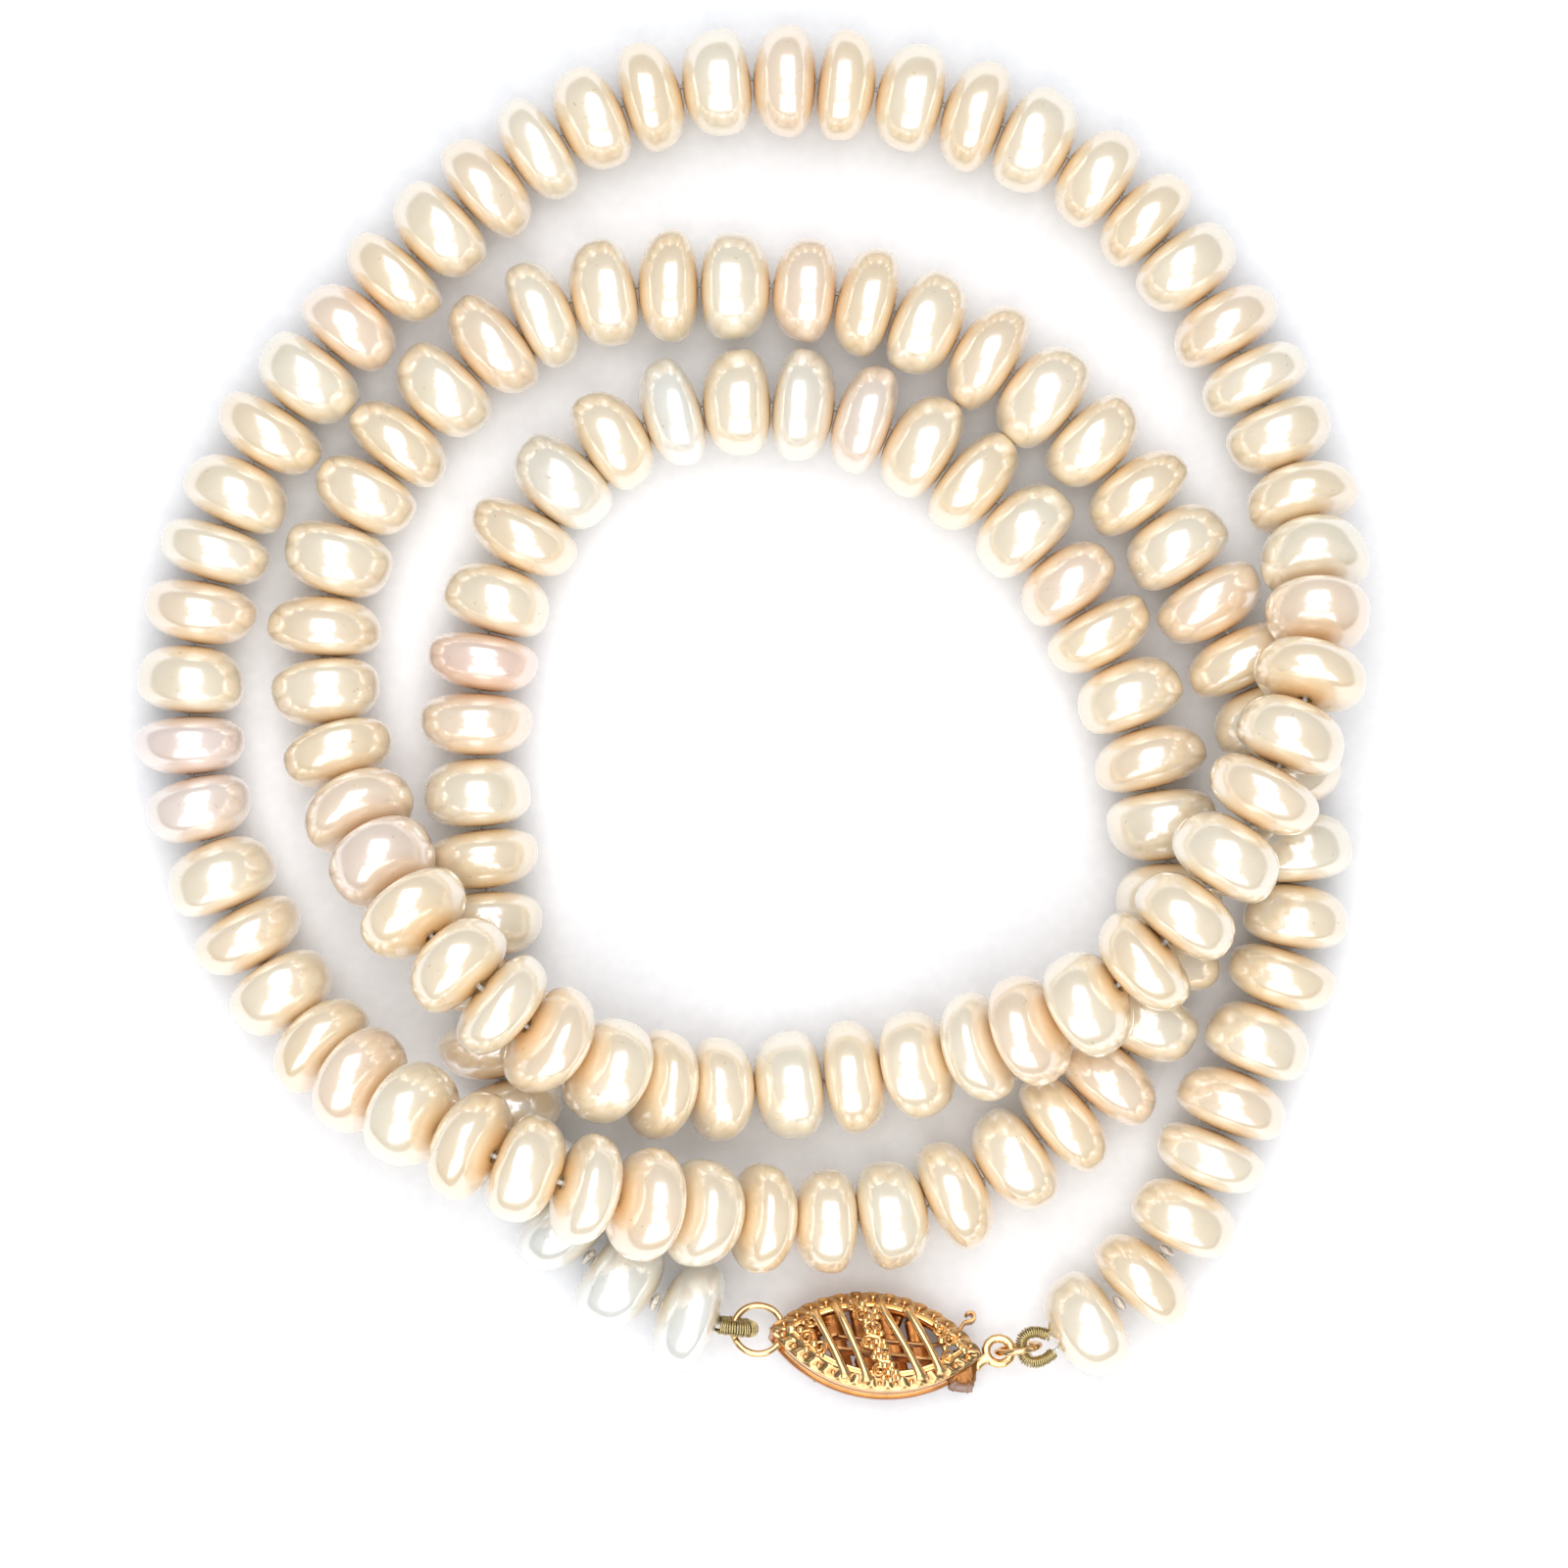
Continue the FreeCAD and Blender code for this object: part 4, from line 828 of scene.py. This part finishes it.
class NecklaceClasp(bpy.types.PropertyGroup):
    """Sizes of the clasp's filigree."""
    bar_width: length_of("Bar width", "Half the width of a filigree bar", 0.245 * MM, min=0.05 * MM, max=0.4 * MM)
    ball_share: FloatProperty(name="Balls", description="Size of the small balls against their drawn size",
                              default=1.0, min=0.5, max=1.5, subtype="FACTOR")
    leaf_curl: length_of("Thumb curl", "Radius of the thumb tab's curled tip", 0.26 * MM, min=0.15 * MM, max=0.6 * MM)
    eye_steps: IntProperty(name="Eye steps", description="Stations round the cast eye", default=56, min=24, max=96)


class NECKLACE_OT_raise_housing(bpy.types.Operator):
    """Raise the clasp's housing: its two filigree covers, the side band between them and its posts"""
    bl_idname = "necklace.raise_housing"
    bl_label = "Raise the housing"

    def execute(self, context):
        sizes = context.scene.necklace_clasp
        cast = gilt("cast_gilt", (0.88, 0.56, 0.25), (0.28, 0.09, 0.02), 0.17, 0.02 * MM)
        # The bottom and the posts, inside the housing, take a darker copy of the gold: painted shade.
        inside = gilt("inside_gilt_in_painted_shade", (0.52, 0.20, 0.05), (0.14, 0.035, 0.01), 0.26, 0.03 * MM)
        self.top(sizes, cast)
        self.bottom(sizes, inside)
        profile = ([0.15, 0.12, 0.15, 0.19, 0.15, 0.15, 0.19, 0.15, 0.12, 0.15, 0.45, 0.45],
                   [-RIM_FOOT, -0.72, -0.60, -0.52, -0.44, 0.44, 0.52, 0.60, 0.72, RIM_FOOT, RIM_FOOT, -RIM_FOOT])
        near, far = share_at(MOUTH, 0.3), share_at(-RING_OPEN_END, 0.3)
        walls = [band(np.linspace(near, far, 60), *profile), band(np.linspace(2 - far, 2 - near, 60), *profile)]
        piece("side_band", walls, cast, "coil", "housing_side_band", sharp=40)
        for label, stands, x, y, height in (("post_for_the_ring", "ring_post", -6.2, 0.0, 1.7),
                                            ("post_for_the_catch", "catch_post", 1.2, -1.45, 2.8)):
            rise = np.linspace(-height / 2, height / 2, 15)
            waist = 0.25 * (1 - 0.08 * np.cos(np.pi * rise / height) ** 2) * MM
            path = placed([(x, y, z * 0.94) for z in rise])
            piece(label, [tube(path, waist, waist, LONG, around=20)], inside, "coil", stands)
        return {"FINISHED"}

    def top(self, sizes, metal):
        """The domed top: rim, bars, the scroll with its nuggets, curls and balls near the tips."""
        skins = milgrain_rim() + [polished_line(0.98, 1.70, 0.13)]
        skins += [filigree_bar(*ends, sizes.bar_width) for ends in TOP_BARS]
        skins.append(tube(on_dome(smoothed(STEM, 6), -0.03), 0.17 * MM, 0.15 * MM, NORMAL, around=10, power=1.8))
        for x, y, size, start in CURLS + SMALL_SCROLLS:
            skins.append(tube(on_dome(curl(x, y, size, start), -0.03), 0.1 * MM, 0.13 * MM, NORMAL, around=8))
        for balls, growth in ((NUGGETS, 1.25), (SCROLL_BALLS, 1.0)):
            for x, y, drawn in balls:
                size = drawn * (sizes.ball_share * growth)
                lumps = 0.14 if size < 0.21 else 0.05
                skins.append(bead(on_dome([[x, y]], 0.03)[0], size * MM, 0.85, NORMAL, 9, 14, lumps))
        for x, size in ((-5.15, 0.34), (5.3, 0.28)):
            skins.append(bead(on_dome([[x, 0.0]], -0.05)[0], size * MM, 0.6, NORMAL, 9, 16))
        piece("filigree_top", skins, metal, "coil", "housing_top", sharp=50)

    def bottom(self, sizes, metal):
        """The domed bottom: a plain rim that stops at the mouth, and slanting bars."""
        near = share_at(MOUTH, 0.3)
        insets = [0.08, 0.0, 0.0, 0.06, 0.14, 0.5, 0.58, 0.6, 0.6]
        heights = -RIM_FOOT - np.array([0.0, 0.08, 0.5, 0.62, 0.7, 0.7, 0.62, 0.5, 0.0])
        skins = [band(np.linspace(near, 2 - near, 200), insets, heights)]
        for ends in BOTTOM_BARS:
            path, _ = straight(*((x, side * 2.42 * math.sqrt(max(0.05, 1 - (x / 5.7) ** 2)))
                                 for x, side in zip(ends, (-1, 1))), 20)
            skins.append(tube(under_dome(path), sizes.bar_width * 2.3, 0.14 * MM, NORMAL, power=2.4))
        for x, y, size in SCROLL_BALLS:
            skins.append(bead(placed([x * 0.92, -y, -dome_height(x, y, -0.1)]), size * 1.1 * MM, 0.7, NORMAL))
        skins.append(tube(under_dome(smoothed(STEM, 5) * [1, -1]), 0.3 * MM, 0.14 * MM, NORMAL, around=10))
        piece("filigree_bottom", skins, metal, "coil", "housing_bottom", sharp=50)


# ------------------------------------------------------------------ the clasp's tongue
def strip(plan, half_height, thickness):
    """A flat strip on its edge along a run of the housing's plan."""
    path = placed(np.column_stack([plan, np.zeros(len(plan))]))
    return tube(path, thickness / 2 * MM, half_height * MM, NORMAL, around=20, power=6.0)


def rounded_block(middle, half, power=7.0, rough=0.0):
    """A block with soft edges: cos and sin of latitude and turn, each raised to 2 / power, times its halves."""
    rows, cols = 33, 96
    latitude = np.linspace(-np.pi / 2, np.pi / 2, rows)[:, None]
    turn = (np.arange(cols) + 0.5)[None, :] * 2 * np.pi / cols
    flat = np.cos(latitude) ** (2 / power)
    a = np.sign(np.cos(turn)) * np.abs(np.cos(turn)) ** (2 / power) * flat
    b = np.sign(np.sin(turn)) * np.abs(np.sin(turn)) ** (2 / power) * flat
    c = np.sign(np.sin(latitude)) * np.abs(np.sin(latitude)) ** (2 / power) * np.ones_like(turn)
    uneven = 1 + rough * np.sin(17 * a + 5 * b) * np.sin(13 * b - 7 * c) * flat
    local = np.array(middle) + np.stack([half[0] * a * uneven, half[1] * b * uneven, half[2] * c], -1)
    return shape(placed(local), grid(rows, cols))


class NECKLACE_OT_fit_tongue(bpy.types.Operator):
    """Fit the clasp's tongue: the folded strip, the sprung leaf with its thumb tab, the block and the eye"""
    bl_idname = "necklace.fit_tongue"
    bl_label = "Fit the tongue"

    def execute(self, context):
        sizes = context.scene.necklace_clasp
        spring = gilt("spring_gilt", (0.50, 0.25, 0.09), (0.16, 0.06, 0.02), 0.3, 0.01 * MM)
        # The block is a darker, browner gold than the eye and the housing's top.
        brown = gilt("dark_brown_block", (0.30, 0.12, 0.03), (0.05, 0.016, 0.004), 0.34, 0.3 * MM, 2400.0)
        cast = gilt("eye_gilt", (0.90, 0.60, 0.28), (0.42, 0.20, 0.07), 0.24, 0.03 * MM)
        root, low, high = MOUTH + 0.12, -0.55, 0.25
        fold = np.linspace(-np.pi / 2, -3 * np.pi / 2, 15)
        bend = np.column_stack([-2.4 + 0.4 * np.cos(fold), -0.15 + 0.4 * np.sin(fold)])
        run = np.column_stack([np.linspace(root, -2.3, 24), np.full(24, low)])
        piece("folded_strip", [strip(np.concatenate([run, bend]), 0.7, 0.25)], spring, "tongue",
              "tongue_strip", sharp=45)
        self.leaf(sizes, spring, high)
        piece("block", [rounded_block((root + 0.75, -0.75, -0.67), (0.75, 1.05, 1.4), rough=0.09)], brown,
              "tongue", "tongue_guard")
        self.eye(sizes, cast)
        return {"FINISHED"}

    def leaf(self, sizes, metal, high):
        """The sprung leaf: along the strip, out of the mouth and up to the thumb tab, whose tip curls back."""
        inner, _ = straight((-2.30, high), (2.9, high + 0.135), 20)
        rise = smoothed([(2.9, 0.385), (3.6, 0.45), (4.3, 0.72), (4.85, 1.10), (5.02, 1.60), (5.22, 2.02),
                         (5.62, 2.18)], 6)[1:]
        radius = sizes.leaf_curl / MM
        angle = 0.35 - np.pi / 2 + np.linspace(0, 1.25 * np.pi, 20)
        start = rise[-1] - radius * np.array([math.cos(angle[0]), math.sin(angle[0])])
        tip = start + radius * np.column_stack([np.cos(angle), np.sin(angle)])
        plan = np.concatenate([inner, rise, tip[1:]])
        reach = np.clip((plan[:, 0] - 4.9) / 1.1, 0, 1)
        piece("sprung_leaf", [strip(plan, 0.35 + 0.16 * reach, 0.22)], metal, "leaf",
              "spring_leaf", sharp=45)

    def eye(self, sizes, metal):
        """The cast eye: a fat ring, its scalloped edge pressed flat, and the neck to the block."""
        steps = sizes.eye_steps
        angle = np.arange(steps) * 2 * np.pi / steps
        circle = np.column_stack([7.49 + 0.78 * np.cos(angle), 0.6 + 0.78 * np.sin(angle), np.zeros(steps)])
        wide = 0.265 * (1 + 0.05 * np.cos(12 * angle)) * MM
        hoop = tube(placed(circle), wide, 0.25 * MM, NORMAL, around=16, closed=True, power=2.8)
        path, share = straight((6.16, -0.40, 0.0), (6.90, 0.16, 0.0), 12)
        neck = tube(placed(path), (0.46 - 0.12 * np.sin(np.pi * share)) * MM, 0.24 * MM, NORMAL, around=16, power=3.0)
        piece("eye", [hoop, neck], metal, "tongue", "tongue_eye", sharp=60)


# ------------------------------------------------------------------ floor, light and view
VIEW_MIDDLE = (0.00208, -0.00425)     # the point of the floor under the camera


class NecklaceStage(bpy.types.PropertyGroup):
    """Floor, light and the height of the view."""
    view_height: length_of("View height", "Camera above the floor", 0.30)
    view_width: length_of("View width", "Width of the floor in view", 0.0945)
    near_light: FloatProperty(name="Near light", description="Power of the light over the near edge",
                              default=0.36, min=0.0, unit="POWER")
    low_light: FloatProperty(name="Low light", description="Power of the low light beyond the near edge",
                             default=0.42, min=0.0, unit="POWER")
    far_light: FloatProperty(name="Far light", description="Power of the light over the far edge",
                             default=0.90, min=0.0, unit="POWER")
    surround: FloatProperty(name="Surround", description="Strength of the light from all round", default=0.38,
                            min=0.0)


class NECKLACE_OT_set_stage(bpy.types.Operator):
    """Set the pale floor, the soft lights and the view from above"""
    bl_idname = "necklace.set_stage"
    bl_label = "Set the stage"

    def execute(self, context):
        sizes = context.scene.necklace_stage
        paper, tree, shader = finish("paper", Roughness=0.8, Specular_IOR_Level=0.2)
        grain = noise(tree, 1400.0, 3.0)
        tree.links.new(ramp(tree, grain.outputs["Fac"], 0.2, 0.8, (0.84, 0.845, 0.86, 1), (0.90, 0.90, 0.91, 1)),
                       shader.inputs["Base Color"])
        relief(tree, shader, grain.outputs["Fac"], 0.05, 0.05 * MM)
        spread = np.linspace(-1.2, 1.2, 13)
        x, y = np.meshgrid(spread, spread, indexing="ij")
        floor = self.panel("floor", (x, y, np.full_like(x, -0.01 * MM)), paper, flipped=True)
        felt, tree, shader = finish("felt", Roughness=0.9)
        tree.links.new(ramp(tree, noise(tree, 900.0).outputs["Fac"], 0.3, 0.7, (0.05, 0.05, 0.055, 1),
                            (0.09, 0.09, 0.095, 1)), shader.inputs["Base Color"])
        # A low dark card stands beyond the near edge of the view, only for the pearls and the gold to mirror.
        x, z = np.meshgrid(np.linspace(-0.30, 0.30, 13), np.linspace(0.0, 0.032, 3), indexing="ij")
        card = self.panel("dark_card", (x, np.full_like(x, -0.122), z), felt)
        card.visible_camera = card.visible_diffuse = card.visible_shadow = False
        world = bpy.data.worlds.new("surround")
        world.use_nodes = True
        backdrop = world.node_tree.nodes["Background"].inputs
        backdrop["Color"].default_value, backdrop["Strength"].default_value = (0.78, 0.88, 1.0, 1), sizes.surround
        context.scene.world = world
        for name, x, y, z, lean, wide, deep, power, colour in (
                ("near_light", 0.0, -0.095, 0.32, 0.0, 0.26, 0.13, sizes.near_light, (1.0, 0.98, 0.96)),
                ("low_light", 0.0, -0.22, 0.17, -0.92, 0.32, 0.20, sizes.low_light, (1.0, 0.98, 0.97)),
                ("far_light", 0.0, 0.18, 0.32, 0.0, 0.30, 0.30, sizes.far_light, (0.98, 0.98, 1.0)),
                ("left_light", -0.055, 0.0, 0.32, 0.0, 0.07, 0.054, sizes.near_light * 0.11, (1.0, 0.99, 0.98)),
                ("right_light", 0.055, 0.0, 0.32, 0.0, 0.07, 0.054, sizes.near_light * 0.11, (1.0, 0.99, 0.98))):
            lamp = bpy.data.lights.new(name, "AREA")
            lamp.shape, lamp.size, lamp.size_y, lamp.energy, lamp.color = "RECTANGLE", wide, deep, power, colour
            hung = linked(name, lamp)
            hung.location = (VIEW_MIDDLE[0] + x, VIEW_MIDDLE[1] + y, z)
            hung.rotation_euler = (-lean, 0.0, 0.0)
        optics = bpy.data.cameras.new("view")
        optics.sensor_width = 36.0
        optics.lens = optics.sensor_width * (sizes.view_height - REST_HEIGHT) / sizes.view_width
        optics.clip_start, optics.clip_end = 0.001, 10.0
        camera = linked("view", optics)
        camera.location = (*VIEW_MIDDLE, sizes.view_height)
        context.scene.camera = camera
        context.scene.view_settings.view_transform = "Standard"
        return {"FINISHED"}

    @staticmethod
    def panel(name, places, material, flipped=False):
        """A flat mesh through a grid of X, Y and Z."""
        mesh = bpy.data.meshes.new(name)
        faces = grid(*places[0].shape, wrap_cols=False)
        mesh.from_pydata(np.stack(places, -1).reshape(-1, 3).tolist(), [],
                         (faces[:, ::-1] if flipped else faces).tolist())
        mesh.materials.append(material)
        return linked(name, mesh)


# ------------------------------------------------------------------ the add-on
class NECKLACE_PT_sidebar(bpy.types.Panel):
    """The necklace's pieces and sizes, in the 3D view's sidebar"""
    bl_idname = "NECKLACE_PT_sidebar"
    bl_label = "Pearl necklace"
    bl_space_type = "VIEW_3D"
    bl_region_type = "UI"
    bl_category = "Necklace"

    def draw(self, context):
        rows = (("necklace_pearls", ("pearl_width", "neighbour_shade_tint"), ("string_pearls",)),
                ("necklace_silk", ("thread", "knot_width"), ("lay_silk",)),
                ("necklace_findings", ("gimp_wire", "gimp_pitch", "ring_opening"),
                 ("wind_french_wire", "close_jump_rings")),
                ("necklace_clasp", ("bar_width", "ball_share", "leaf_curl", "eye_steps"),
                 ("raise_housing", "fit_tongue")),
                ("necklace_stage", ("view_height", "view_width", "near_light", "low_light", "far_light", "surround"),
                 ("set_stage",)))
        for group, labels, operators in rows:
            box = self.layout.box()
            for label in labels:
                box.prop(getattr(context.scene, group), label)
            for operator in operators:
                box.operator("necklace." + operator)


GROUPS = {"necklace_pearls": NecklacePearls, "necklace_silk": NecklaceSilk,
          "necklace_findings": NecklaceFindings, "necklace_clasp": NecklaceClasp, "necklace_stage": NecklaceStage}
CLASSES = (*GROUPS.values(), NECKLACE_OT_string_pearls, NECKLACE_OT_lay_silk, NECKLACE_OT_wind_french_wire,
           NECKLACE_OT_close_jump_rings, NECKLACE_OT_raise_housing, NECKLACE_OT_fit_tongue, NECKLACE_OT_set_stage,
           NECKLACE_PT_sidebar)


def register():
    """Adds the necklace's panel, operators and sizes."""
    for kind in CLASSES:
        bpy.utils.register_class(kind)
    for name, kind in GROUPS.items():
        setattr(bpy.types.Scene, name, PointerProperty(type=kind))


def unregister():
    """Takes them away again."""
    for name in GROUPS:
        delattr(bpy.types.Scene, name)
    for kind in reversed(CLASSES):
        bpy.utils.unregister_class(kind)


def main():
    """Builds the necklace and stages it."""
    register()
    bpy.ops.necklace.string_pearls()
    bpy.ops.necklace.lay_silk()
    bpy.ops.necklace.wind_french_wire()
    bpy.ops.necklace.close_jump_rings()
    bpy.ops.necklace.raise_housing()
    bpy.ops.necklace.fit_tongue()
    bpy.ops.necklace.set_stage()


if __name__ == "__main__":
    main()
